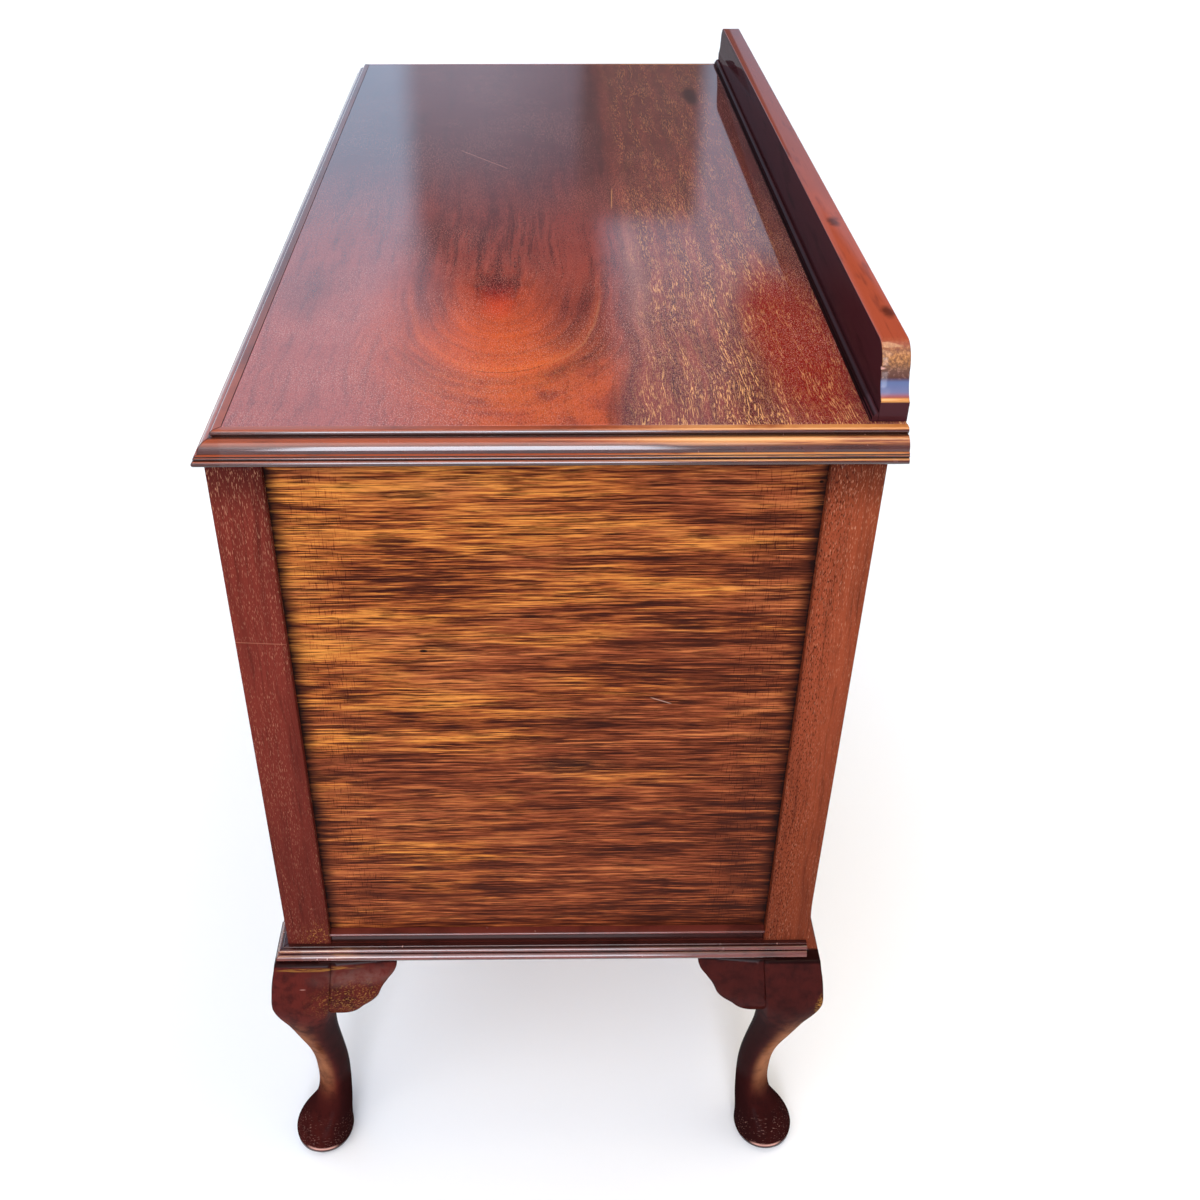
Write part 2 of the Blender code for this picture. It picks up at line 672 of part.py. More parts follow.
def drawer_side_rings(inner_face, inward, front, back):
    """A drawer side with the groove that holds the bottom. Inward is the sign towards the inside."""
    foot = DRAWER_FLOOR + GAP
    outer = inner_face - inward * DRAWER_SIDE_THICK
    groove = inner_face - inward * DRAWER_GROOVE
    low = foot + DRAWER_BOTTOM_UP - GAP
    high = foot + DRAWER_BOTTOM_UP + DRAWER_BOTTOM_THICK + GAP
    section = [(outer, foot), (inner_face, foot), (inner_face, low), (groove, low), (groove, high),
               (inner_face, high), (inner_face, foot + DRAWER_SIDE_HIGH), (outer, foot + DRAWER_SIDE_HIGH)]
    return [[(x, y, z) for x, z in section] for y in (front, back)]


def make_drawer(side, sign, finishes):
    """A drawer: a front, two grooved sides, a back, a bottom and a handle, on its slide."""
    name = "drawer_" + side
    low_x, high_x = drawer_span(sign)
    foot = DRAWER_FLOOR + GAP
    front_back = -POST_Y + DRAWER_FRONT_THICK
    pieces = [board(name + "_front", (low_x, -POST_Y, DRAWER_FLOOR + DRAWER_FOOT_GAP),
                    (high_x, front_back, DRAWER_CEILING - DRAWER_TOP_GAP), finishes["front"])]
    inner_low, inner_high = low_x + DRAWER_SIDE_THICK, high_x - DRAWER_SIDE_THICK
    for hand, face, inward in (("left", inner_low, 1), ("right", inner_high, -1)):
        rings = drawer_side_rings(face, inward, front_back + GAP, DRAWER_END)
        pieces.append(loft(name + "_side_" + hand, rings, finishes["inner_wood"]))
    bottom_low = foot + DRAWER_BOTTOM_UP
    bottom_top = bottom_low + DRAWER_BOTTOM_THICK
    reach = DRAWER_GROOVE - GAP
    pieces.append(board(name + "_bottom", (inner_low - reach, front_back + GAP, bottom_low),
                        (inner_high + reach, DRAWER_END, bottom_top), finishes["inner_wood"], edge=0))
    pieces.append(board(name + "_back", (inner_low + GAP, DRAWER_END - DRAWER_BACK_THICK, bottom_top + GAP),
                        (inner_high - GAP, DRAWER_END, foot + DRAWER_SIDE_HIGH - DRAWER_BACK_DOWN),
                        finishes["inner_wood"]))
    middle = (low_x + high_x) / 2
    height = (DRAWER_FLOOR + DRAWER_CEILING) / 2 + DRAWER_HANDLE_UP
    plate, bail = make_handle(name, middle, height, DRAWER_HANDLE_SPAN, DRAWER_HANDLE_DROP,
                              DRAWER_PLATE_HIGH, finishes["brass"])
    slide = hang(name + "_slide", (middle, -POST_Y, foot), pieces + [plate])
    hang(name + "_bail_pivot", (middle, -POST_Y - BAIL_AXIS_OUT, height), [bail], slide)


# Doors
def door_span(sign):
    """Outer edges of a door on X, low first."""
    near = DOOR_MEET_GAP / 2
    far = INNER_X - DOOR_EDGE_GAP
    return (near, far) if sign > 0 else (-far, -near)


def hinge_heights():
    """Middle height of each hinge, at a share of the door's height from its foot and its head."""
    inset = HINGE_AT * (DOOR_HEAD - DOOR_FOOT)
    return DOOR_FOOT + inset, DOOR_HEAD - inset


def hinge_axis(sign):
    """Axis of a door on X and Y, in front of the gap between the door and its post."""
    return sign * (INNER_X - DOOR_EDGE_GAP / 2), -POST_Y - HINGE_OFF


def post_hinge_recess(sign, height):
    half = HINGE_HIGH / 2 + GAP
    return cutter((sign * (INNER_X - POST), -POST_Y - POST, height - half),
                  (sign * (INNER_X + HINGE_LEAF + GAP), -POST_Y + HINGE_LEAF_DEEP + GAP, height + half))


def door_hinge_recess(sign, height):
    half = HINGE_HIGH / 2 + GAP
    edge = INNER_X - DOOR_EDGE_GAP
    return cutter((sign * (edge + POST), -POST_Y - POST, height - half),
                  (sign * (edge - HINGE_LEAF - GAP), -POST_Y + HINGE_LEAF_DEEP + GAP, height + half))


def make_door(side, sign, hinge_leaves, finishes):
    """A framed door with its panel, handle and hinge leaves, hung on its hinges' axis."""
    name = "door_" + side
    back = -POST_Y + DOOR_THICK
    low_x, high_x = door_span(sign)
    frame = board(name + "_frame", (low_x, -POST_Y, DOOR_FOOT), (high_x, back, DOOR_HEAD), finishes["front"])
    wide, lap = DOOR_FRAME_WIDE, DOOR_FRAME_WIDE - PANEL_LAP
    lip_back = -POST_Y + DOOR_LIP
    tools = [cutter((low_x + wide, -POST_Y - POST, DOOR_FOOT + wide),
                    (high_x - wide, back + POST, DOOR_HEAD - wide)),
             cutter((low_x + lap, lip_back, DOOR_FOOT + lap), (high_x - lap, back + POST, DOOR_HEAD - lap))]
    for height in hinge_heights():
        tools.append(door_hinge_recess(sign, height))
    combine(frame, tools, "DIFFERENCE")
    panel = board(name + "_panel", (low_x + lap + GAP, lip_back + GAP, DOOR_FOOT + lap + GAP),
                  (high_x - lap - GAP, lip_back + GAP + DOOR_PANEL_THICK, DOOR_HEAD - lap - GAP),
                  finishes["panel"], edge=0)
    middle = sign * (DOOR_MEET_GAP / 2 + DOOR_FRAME_WIDE / 2)
    height = DOOR_HEAD - DOOR_HANDLE_DOWN
    plate, bail = make_handle(name, middle, height, DOOR_HANDLE_SPAN, DOOR_HANDLE_DROP,
                              DOOR_PLATE_HIGH, finishes["brass"])
    swing = hang(name + "_swing", (*hinge_axis(sign), DOOR_FOOT), [frame, panel, plate] + hinge_leaves)
    hang(name + "_bail_pivot", (middle, -POST_Y - BAIL_AXIS_OUT, height), [bail], swing)


# Hinges
BARREL_SIDES = 12


def cylinder_into(builder, centre, radius, low, high, sides=BARREL_SIDES):
    ring = [(centre[0] + radius * cos(2 * pi * i / sides), centre[1] + radius * sin(2 * pi * i / sides))
            for i in range(sides)]
    loft_into(builder, [[(x, y, z) for x, y in ring] for z in (low, high)])


def upright_cylinder(name, centre, radius, low, high, material):
    builder = bmesh.new()
    cylinder_into(builder, centre, radius, low, high)
    return new_object(name, builder, material)


def make_hinge(name, sign, height, finishes):
    """A butt hinge: one leaf on the post with both end knuckles and the pin, one on the door."""
    axis = hinge_axis(sign)
    low = height - HINGE_HIGH / 2
    third = HINGE_HIGH / 3
    knuckles = [(low, low + third - GAP), (low + third, low + 2 * third),
                (low + 2 * third + GAP, low + HINGE_HIGH)]

    def leaf_box(part, face, bottom, top, near_y, far_y):
        low_x, high_x = sorted((sign * face, sign * (face + HINGE_LEAF)))
        return board(part, (low_x, near_y, bottom), (high_x, far_y, top), finishes["brass"], edge=0)

    def knuckle(bottom, top, radius=HINGE_BARREL_R):
        return upright_cylinder("knuckle", axis, radius, bottom, top, finishes["brass"])

    def web(face, bottom, top):
        return leaf_box("web", face, bottom, top, axis[1], -POST_Y + HINGE_LEAF_DEEP / 2)

    post_face = INNER_X
    post_leaf = leaf_box(name + "_post_leaf", post_face, low, low + HINGE_HIGH,
                         -POST_Y, -POST_Y + HINGE_LEAF_DEEP)
    parts = []
    for bottom, top in (knuckles[0], knuckles[2]):
        parts += [web(post_face, bottom, top), knuckle(bottom, top)]
    parts.append(knuckle(low + third / 2, low + HINGE_HIGH - third / 2, HINGE_PIN_R))
    combine(post_leaf, parts, "UNION")

    door_face = INNER_X - DOOR_EDGE_GAP - HINGE_LEAF
    door_leaf = leaf_box(name + "_door_leaf", door_face, low, low + HINGE_HIGH,
                         -POST_Y, -POST_Y + HINGE_LEAF_DEEP)
    combine(door_leaf, [web(door_face, *knuckles[1]), knuckle(*knuckles[1])], "UNION")
    combine(door_leaf, [knuckle(low - third, low + HINGE_HIGH + third, HINGE_BORE_R)], "DIFFERENCE")
    return door_leaf


# Handles
def plate_outline(half_wide, half_high, steps=24):
    """A lobed plate: an oval drawn in between its four points."""
    outline = []
    for i in range(steps):
        turn = 2 * pi * i / steps
        lobe = (1 + 0.10 * cos(4 * turn)) / 1.10
        outline.append((half_wide * cos(turn) * lobe, half_high * sin(turn) * lobe))
    return outline


def round_bar(name, centre, radius, along, low, high, material, sides=12):
    """A round bar along X or Y through a centre given on the other two axes."""
    rings = []
    for reach in (low, high):
        ring = []
        for i in range(sides):
            turn = 2 * pi * i / sides
            across, up = centre[0] + radius * cos(turn), centre[1] + radius * sin(turn)
            ring.append((reach, across, up) if along == "X" else (across, reach, up))
        rings.append(ring)
    return loft(name, rings, material)


def bail_path(span, drop):
    """Centre line of a bail on X and Z: in through both posts, and hanging between them."""
    wide = span / 2 + BAIL_BEYOND
    corner = 2 * BAIL_R
    start = span / 2 - HANDLE_POST_R - BAIL_R
    right = [(start, 0.0)] + arc((wide - corner, -corner), corner, 90, 0, 3)
    steps = 7
    for i in range(1, steps + 1):
        turn = radians(90 * i / steps)
        right.append((wide * cos(turn), -corner - (drop - corner) * sin(turn)))
    left = [(-x, z) for x, z in reversed(right[:-1])]
    return right + left


def make_bail(name, middle, height, span, drop, material, sides=8):
    path = bail_path(span, drop)
    y = -POST_Y - BAIL_AXIS_OUT
    rings = []
    for i, (x, z) in enumerate(path):
        before, after = path[max(i - 1, 0)], path[min(i + 1, len(path) - 1)]
        run = Vector((after[0] - before[0], after[1] - before[1])).normalized()
        ring = []
        for j in range(sides):
            turn = 2 * pi * j / sides
            side_step = BAIL_R * cos(turn)
            ring.append((middle + x - run.y * side_step, y + BAIL_R * sin(turn), height + z + run.x * side_step))
        rings.append(ring)
    return loft(name, rings, material, smooth_angle=60)


def make_handle(name, middle, height, span, drop, plate_high, material):
    """A plate with two drilled posts, and the bail that hangs in them."""
    back = -POST_Y - GAP
    outline = plate_outline(span / 2 + PLATE_BORDER_X, plate_high / 2)
    rings = [[(middle + x, y, height + z) for x, z in outline] for y in (back, back - PLATE_THICK)]
    plate = loft(name + "_plate", rings, material)
    posts = [round_bar("handle_post", (middle + hand * span / 2, height), HANDLE_POST_R, "Y",
                       back - HANDLE_POST_OUT, back - PLATE_THICK / 2, material) for hand in (-1, 1)]
    combine(plate, posts, "UNION")
    reach = span / 2 + 2 * HANDLE_POST_R
    hole = round_bar("bail_hole", (-POST_Y - BAIL_AXIS_OUT, height), BAIL_HOLE_R, "X",
                     middle - reach, middle + reach, material)
    combine(plate, [hole], "DIFFERENCE")
    return plate, make_bail(name + "_bail", middle, height, span, drop, material)


def main():
    for old in list(bpy.data.objects):
        bpy.data.objects.remove(old)
    finishes = make_finishes()
    make_top(finishes)
    make_gallery(finishes)
    make_base_mouldings(finishes)
    make_leg_posts(finishes)
    make_ears(finishes)
    make_rails(finishes)
    make_panels(finishes)
    make_inside(finishes)
    for side, sign in SIDES.items():
        make_drawer(side, sign, finishes)
        leaves = [make_hinge("hinge_%s_%s" % (side, place), sign, height, finishes)
                  for place, height in zip(("lower", "upper"), hinge_heights())]
        make_door(side, sign, leaves, finishes)


main()
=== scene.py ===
"""A mahogany sideboard in the Queen Anne manner, dressed for a studio view.

The solid frame holds every board at its size. This script gives each surface its finish, and makes
the fine mouldings, the smooth cabriole legs and the brass handles. The front faces -Y and +Z is up.
All sizes are in metres.
"""

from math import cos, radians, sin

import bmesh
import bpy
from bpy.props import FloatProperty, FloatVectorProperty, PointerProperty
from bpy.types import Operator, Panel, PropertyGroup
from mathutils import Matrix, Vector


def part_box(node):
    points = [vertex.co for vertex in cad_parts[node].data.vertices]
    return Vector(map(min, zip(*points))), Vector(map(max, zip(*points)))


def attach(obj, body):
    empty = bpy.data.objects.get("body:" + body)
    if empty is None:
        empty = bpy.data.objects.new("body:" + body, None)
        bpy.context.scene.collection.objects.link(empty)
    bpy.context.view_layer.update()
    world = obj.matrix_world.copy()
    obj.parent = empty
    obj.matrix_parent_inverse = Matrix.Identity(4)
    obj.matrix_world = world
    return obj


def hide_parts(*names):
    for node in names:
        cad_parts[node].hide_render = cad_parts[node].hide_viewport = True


bl_info = {
    "name": "Mahogany sideboard",
    "version": (1, 0, 0),
    "blender": (4, 5, 0),
    "location": "View3D > Sidebar > Sideboard",
    "description": "Finishes, fine mouldings and studio of a mahogany sideboard",
    "category": "Object",
}

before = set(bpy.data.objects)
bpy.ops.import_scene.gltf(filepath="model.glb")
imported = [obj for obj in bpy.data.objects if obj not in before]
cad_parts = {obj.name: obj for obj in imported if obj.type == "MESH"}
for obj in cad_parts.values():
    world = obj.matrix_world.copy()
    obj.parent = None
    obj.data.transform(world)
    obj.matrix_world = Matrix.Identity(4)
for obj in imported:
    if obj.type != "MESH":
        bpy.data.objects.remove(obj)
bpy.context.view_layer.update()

# Clearance between pieces that touch, as the solid frame has it
GAP = 0.0003

# Height of the rounded rim that a foot stands on
FOOT_RIM = 0.0075

# The sides with their sign on X, and the ends
SIDES = {"left": -1, "right": 1}
ENDS = ("front", "back")

# Places that the frame gives
TOP_LOW, TOP_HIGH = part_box("top_board")
EDGE_LOW, EDGE_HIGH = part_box("top_moulding_right")
GALLERY_LOW, GALLERY_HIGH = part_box("gallery_board")
BEAD_LOW, BEAD_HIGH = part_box("gallery_bead")
POST_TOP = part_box("leg_post_back_right")[1][2]
BASE_LOW, BASE_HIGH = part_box("base_moulding_right")
RAIL_LOW, RAIL_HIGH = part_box("end_rail_right")
PANEL_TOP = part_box("end_panel_right")[1][2]
DOOR_LOW, DOOR_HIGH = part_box("door_right_frame")
# The panels lap 8 mm behind their frames, whose faces stand 8.3 mm in front of them
PANEL_LAP = 0.008
STILE_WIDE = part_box("door_right_panel")[0][0] - GAP + PANEL_LAP - DOOR_LOW[0]
POST_X = BASE_LOW[0] - GAP
POST_Y = BASE_HIGH[1]
CASE_BOTTOM = BASE_LOW[2]


def linear(code):
    """Linear colour of an sRGB hex code, with full alpha."""
    values = [int(code[i:i + 2], 16) / 255 for i in (1, 3, 5)]
    return tuple(v / 12.92 if v <= 0.04045 else ((v + 0.055) / 1.055) ** 2.4 for v in values) + (1.0,)


# Settings a user would change
def size(name, description, default):
    return FloatProperty(name=name, description=description, default=default, unit="LENGTH",
                         subtype="DISTANCE", precision=5)


def colour(name, description, code):
    return FloatVectorProperty(name=name, description=description, default=linear(code), size=4,
                               subtype="COLOR", min=0.0, max=1.0)


def share(name, description, default):
    return FloatProperty(name=name, description=description, default=default)


class SideboardSizes(PropertyGroup):
    quirk: size("Quirk", "Width of the narrow grooves between members", 0.0005)
    edge_bead: size("Edge bead radius", "Bead at the foot of the top's edge", 0.0024)
    edge_small_bead: size("Small bead radius", "Small bead above the edge bead", 0.0009)
    edge_small_in: size("Small bead set back", "How far the small bead stands behind the edge bead", 0.0015)
    edge_ledge: size("Edge ledge", "Ledge between the small bead and the ovolo", 0.0020)
    edge_ovolo: size("Ovolo radius", "Quarter round of the top's edge", 0.0090)
    edge_lip: size("Lip radius", "Lip bead along the rim of the top", 0.0024)
    base_bead: size("Base bead radius", "Lower bead of the base moulding", 0.0042)
    base_upper_bead: size("Upper base bead radius", "Upper bead of the base moulding", 0.0024)
    base_fillet: size("Base fillet", "Width of the fillet over the base beads", 0.0043)
    rail_nose: size("Rail nose radius", "Round nose of the rail under an end panel", 0.0014)
    rail_step: size("Rail step", "Depth of the recess under the rail's nose", 0.0040)
    rail_ledge: size("Rail ledge", "Width of the ledge that a panel stands on", 0.0080)
    gallery_foot: size("Gallery foot", "Height of the upright foot of the gallery's end", 0.0160)
    gallery_round: size("Gallery shoulder radius", "Round shoulder of the gallery's end", 0.0190)
    gallery_hollow: size("Gallery hollow radius", "Hollow under the shoulder of the gallery's end", 0.0240)
    arris: size("Arris", "Rounding of worn edges", 0.0009)
    door_bead: size("Door bead", "Quarter round that holds a door's panel", 0.0060)


class SideboardColours(PropertyGroup):
    top_deep: colour("Top, deep", "Dark lines and streaks of the top veneer", "#2c1216")
    top_purple: colour("Top, purple brown", "Far part of the top veneer", "#4e2528")
    top_red: colour("Top, red brown", "Main colour of the top veneer", "#934236")
    top_orange: colour("Top, orange", "Glow of the crotch figure", "#bd4c20")
    top_glow: colour("Top, light orange", "Light arcs of the crotch figure", "#d3602a")
    top_ember: colour("Top, ember", "Core of the knot", "#c8401c")
    # Crimson of the knot, and also the painted dark reflection beside the gallery
    top_crimson: colour("Top, crimson", "Unfaded part beside the gallery", "#74120f")
    top_leaf: colour("Top, second leaf", "Ground of the second leaf of veneer", "#501f20")
    top_fleck: colour("Top, flecks", "Filled pores of the second leaf", "#e0a468")
    # Also a painted sheen on the ears and a painted highlight on the feet's rims
    top_rose: colour("Top, rosy dust", "Dusty pores and chips", "#cf9a8c")
    # Also the painted shade along the panels' borders
    panel_dark: colour("Panel, dark", "Dark streaks of the end panels", "#2a0e07")
    panel_brown: colour("Panel, brown", "Red brown of the end panels", "#5a2613")
    panel_russet: colour("Panel, russet", "Middle tone of the browner parts", "#834023")
    panel_copper: colour("Panel, copper", "Light grain of the browner parts", "#b36938")
    panel_amber: colour("Panel, amber", "Middle tone of the golden parts", "#974f23")
    panel_gold: colour("Panel, gold", "Light grain of the golden parts", "#cb8238")
    panel_pale: colour("Panel, pale", "Scratches in the polish", "#d8b4a0")
    post_red: colour("Post, red brown", "Front posts", "#692920")
    post_orange: colour("Post, orange brown", "Back posts", "#843d25")
    post_fleck: colour("Post, flecks", "Filled pores of the posts", "#c08a6a")
    # Also painted shade on the legs' inner faces, under the knees and on the posts under the top
    leg_dark: colour("Leg, dark", "Stain in the hollows of the legs", "#1f0b0b")
    leg_brown: colour("Leg, brown", "Main colour of the legs", "#4e1b16")
    # Partly rubbed wood and partly painted light on the shins' outward faces
    leg_tan: colour("Leg, tan", "Rubbed shins", "#8a583a")
    leg_worn: colour("Leg, worn", "Rubbed gold of the legs", "#b8823a")
    # Also painted shade in the quirks, the recess, under downward faces, under the base moulding and at the
    # panels' frames, and a painted dark reflection on the front edge
    moulding_dark: colour("Moulding, dark", "Old wax in the quirks", "#120808")
    moulding_red: colour("Moulding, red brown", "Main colour of the mouldings", "#44180f")
    moulding_base: colour("Moulding, base", "Red brown of the base moulding", "#62281f")
    # Painted light on the upward faces of the edge
    moulding_orange: colour("Moulding, orange", "Upper rounds of the mouldings", "#92401f")
    # Rubbed gold, and also a painted highlight on the edge's rounds and the gallery's ends
    moulding_gold: colour("Moulding, gold", "Rubbed rounds of the mouldings", "#c98a4c")
    gallery_dark: colour("Gallery, dark", "Front of the gallery", "#3c1a1e")
    gallery_end: colour("Gallery, end", "Shoulder of the gallery's ends", "#5e4238")
    # A painted reflection of the sky in the hollow of the gallery's ends
    gallery_sky_reflection: colour("Gallery, bloom", "Bluish bloom in the hollow of the ends", "#56678c")
    gallery_top: colour("Gallery, top", "Faded upper edge of the gallery", "#7c3828")
    gallery_glow: colour("Gallery, glow", "Near part of the upper edge", "#97432c")
    front_dark: colour("Front, dark", "Dark grain of the fronts", "#34120c")
    front_red: colour("Front, red brown", "Main colour of the fronts", "#742f1c")
    front_light: colour("Front, light", "Light grain of the fronts", "#9a4b27")
    inner_light: colour("Inner wood, light", "Light grain of the carcase wood", "#b68c5c")
    inner_dark: colour("Inner wood, dark", "Dark grain of the carcase wood", "#7c5634")
    brass_bright: colour("Brass, bright", "Rubbed brass", "#c9a35a")
    brass_dull: colour("Brass, dull", "Tarnished brass", "#7d6234")
    paper: colour("Studio floor", "Plain pale floor", "#f4f4f4")


class SideboardStudio(PropertyGroup):
    camera_x: size("Camera X", "Camera place along the length", 1.348397)
    camera_y: size("Camera Y", "Camera place across the depth", -0.004818)
    camera_z: size("Camera height", "Camera height over the floor", 1.307663)
    camera_pitch: share("Camera pitch", "Downward tilt in degrees", 35.680)
    camera_yaw: share("Camera yaw", "Turn from the length axis in degrees", 0.635)
    camera_roll: share("Camera roll", "Roll in degrees", 0.059)
    camera_lens: share("Lens", "Focal length in millimetres on a 36 mm frame", 39.315)
    camera_shift: share("Shift", "Sideways shift as a share of the frame", 0.03957)
    floor_reach: size("Floor reach", "Half the width of the studio floor", 30.0)
    sky: share("Sky", "Brightness of the studio dome", 0.92)
    key: share("Key", "Strength of the soft key light", 1.27)
    window: share("Window", "How much brighter than the dome the low window is", 40.0)
    glint: share("Glint", "Power of the warm box overhead, in watts", 20.0)


# Mesh helpers
class Pen:
    """Draws a moulding's section in the XZ plane, from its foot at the back, X outward and Z up."""

    def __init__(self, builder):
        self.builder = builder
        self.first = builder.verts.new((0.0, 0.0, 0.0))
        self.tip = self.first

    def lines(self, *points):
        for x, z in points:
            made = bmesh.ops.extrude_vert_indiv(self.builder, verts=[self.tip])
            self.tip = made["verts"][0]
            self.tip.co = (x, 0.0, z)

    def arc(self, x, z, degrees, steps=8):
        """Turn about a centre, counter-clockwise for a positive angle."""
        made = bmesh.ops.spin(self.builder, geom=[self.tip], cent=(x, 0.0, z), axis=(0.0, -1.0, 0.0),
                              angle=radians(degrees), steps=steps)
        self.tip = [v for v in made["geom_last"] if isinstance(v, bmesh.types.BMVert)][0]

    def close(self):
        self.builder.edges.new((self.tip, self.first))
        made = bmesh.ops.contextual_create(self.builder, geom=self.builder.edges[:])
        return made["faces"][0]


def everything(builder):
    return builder.verts[:] + builder.edges[:] + builder.faces[:]


def extrude(builder, face, start, end):
    """Pull a section out along Y, from start to end."""
    bmesh.ops.translate(builder, vec=(0.0, start, 0.0), verts=face.verts)
    made = bmesh.ops.extrude_face_region(builder, geom=[face])
    verts = [v for v in made["geom"] if isinstance(v, bmesh.types.BMVert)]
    bmesh.ops.translate(builder, vec=(0.0, end - start, 0.0), verts=verts)


def cut(builder, point, normal):
    """Saw off what lies beyond a plane, and close the cut."""
    made = bmesh.ops.bisect_plane(builder, geom=everything(builder), plane_co=point, plane_no=normal,
                                  clear_outer=True)
    edges = [e for e in made["geom_cut"] if isinstance(e, bmesh.types.BMEdge)]
    bmesh.ops.contextual_create(builder, geom=edges)


def make_piece(name, builder, material, body, replaced=(), smooth=35, levels=0):
    """Close a mesh, round it by levels of subdivision, give it its material, and hand it to the frame."""
    bmesh.ops.recalc_face_normals(builder, faces=builder.faces)
    mesh = bpy.data.meshes.new(name)
    builder.to_mesh(mesh)
    builder.free()
    mesh.materials.append(material)
    mesh.shade_smooth()
    if smooth:
        mesh.set_sharp_from_angle(angle=radians(smooth))
    piece = bpy.data.objects.new(name, mesh)
    bpy.context.collection.objects.link(piece)
    if levels:
        rounding = piece.modifiers.new("rounding", "SUBSURF")
        rounding.levels = levels
        rounding.render_levels = levels
        rounded = piece.evaluated_get(bpy.context.evaluated_depsgraph_get())
        piece.data = bpy.data.meshes.new_from_object(rounded)
        piece.modifiers.clear()
    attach(piece, body)
    if replaced:
        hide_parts(*replaced)


def run_moulding(context, node, draw, ends, mitres, face, foot, sign=0, finish="moulding"):
    """Replace a CAD strip by a moulding between two ends. A mitred end grows by the outward distance.

    It stands against an end of the case, on the side of the sign, or against the front where that is 0.
    """
    builder = bmesh.new()
    section = draw(builder, context.scene.sideboard_sizes)
    reach = max(v.co.x for v in builder.verts)
    start, end = ends
    extrude(builder, section, start - reach * mitres[0], end + reach * mitres[1])
    if mitres[0]:
        cut(builder, (0.0, start + GAP / 2, 0.0), (-1.0, -1.0, 0.0))
    if mitres[1]:
        cut(builder, (0.0, end - GAP / 2, 0.0), (-1.0, 1.0, 0.0))
    bmesh.ops.translate(builder, vec=(face, 0.0, foot), verts=builder.verts)
    if sign:
        bmesh.ops.scale(builder, vec=(sign, 1.0, 1.0), verts=builder.verts)
    else:
        bmesh.ops.rotate(builder, cent=(0.0, 0.0, 0.0), matrix=Matrix.Rotation(radians(-90), 3, "Z"),
                         verts=builder.verts)
    make_piece(node + "_run", builder, finish_of(context, finish), "case", [node])


def merged_copy(node):
    """A bmesh copy of a CAD node, with its loose triangles sewn together and paired into quads."""
    builder = bmesh.new()
    builder.from_mesh(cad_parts[node].data)
    bmesh.ops.remove_doubles(builder, verts=builder.verts, dist=0.00002)
    bmesh.ops.join_triangles(builder, faces=builder.faces, angle_face_threshold=radians(25),
                             angle_shape_threshold=radians(60))
    return builder


def slice_level(builder, low, high, step):
    """Add level cuts between two heights, so that tall faces become short ones."""
    count = max(1, round((high - low) / step))
    for i in range(1, count):
        bmesh.ops.bisect_plane(builder, geom=everything(builder), plane_no=(0.0, 0.0, 1.0),
                               plane_co=(0.0, 0.0, low + (high - low) * i / count))


def crease_edges(builder, angle, crease, foot_crease=None, above=-1.0):
    """Keep edges above an angle and a height nearly sharp, and those on the floor sharper."""
    layer = builder.edges.layers.float.get("crease_edge") or builder.edges.layers.float.new("crease_edge")
    for edge in builder.edges:
        lowest = min(v.co.z for v in edge.verts)
        if lowest > above and len(edge.link_faces) == 2 and edge.calc_face_angle(0.0) > radians(angle):
            on_floor = max(v.co.z for v in edge.verts) < GAP
            edge[layer] = foot_crease if on_floor and foot_crease else crease


def swell(builder, low, high):
    """Push the round part between two heights out by what subdivision will draw in."""
    verts = [v for v in builder.verts if low < v.co.z < high]
    bmesh.ops.smooth_vert(builder, verts=verts, factor=-0.6, use_axis_x=True, use_axis_y=True,
                          use_axis_z=False)


def spread_rim(builder, grow):
    """Spread the lowest part of a foot into a rounded rim, which ends in a short slope."""
    slope = 0.0018
    for height in (FOOT_RIM, FOOT_RIM + slope):
        bmesh.ops.bisect_plane(builder, geom=everything(builder), plane_co=(0.0, 0.0, height),
                               plane_no=(0.0, 0.0, 1.0))
    verts = [v for v in builder.verts if v.co.z < FOOT_RIM + GAP]
    centre = sum((v.co for v in verts), Vector()) / len(verts)
    bmesh.ops.scale(builder, vec=(grow, grow, 1.0), space=Matrix.Translation(-centre), verts=verts)


def round_node(context, node, ending, finish, body, angle, crease):
    """Replace a CAD node by a rounded copy that keeps the edges above an angle."""
    builder = merged_copy(node)
    crease_edges(builder, angle, crease)
    make_piece(node + ending, builder, finish_of(context, finish), body, [node], smooth=0, levels=2)


def dress(material, *nodes):
    """Give CAD nodes a material on their own slots."""
    for node in nodes:
        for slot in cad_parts[node].material_slots:
            slot.material = material


# Material helpers
class Field:
    """A value or a colour that varies over a surface: an output of a node, with arithmetic on it."""

    def __init__(self, socket):
        self.socket = socket
        self.tree = socket.id_data

    def math(self, operation, *others):
        return add(self.tree, "ShaderNodeMath", dict(enumerate((self,) + others)), operation=operation)[0]

    def __add__(self, other):
        return self.math("ADD", other)

    def __sub__(self, other):
        return self.math("SUBTRACT", other)

    def __mul__(self, other):
        return self.math("MULTIPLY", other)

    def __truediv__(self, other):
        return self.math("DIVIDE", other)

    def __pow__(self, other):
        return self.math("POWER", other)

    def __abs__(self):
        return self.math("ABSOLUTE")

    def step(self, low, high):
        """0 below low, 1 above high, smooth between. It falls where low is the greater."""
        return add(self.tree, "ShaderNodeMapRange", {0: self, 1: low, 2: high},
                   interpolation_type="SMOOTHSTEP")[0]

    def within(self, low, high, soft):
        """1 between two limits, with soft edges."""
        return self.step(low - soft, low + soft) * self.step(high + soft, high - soft)


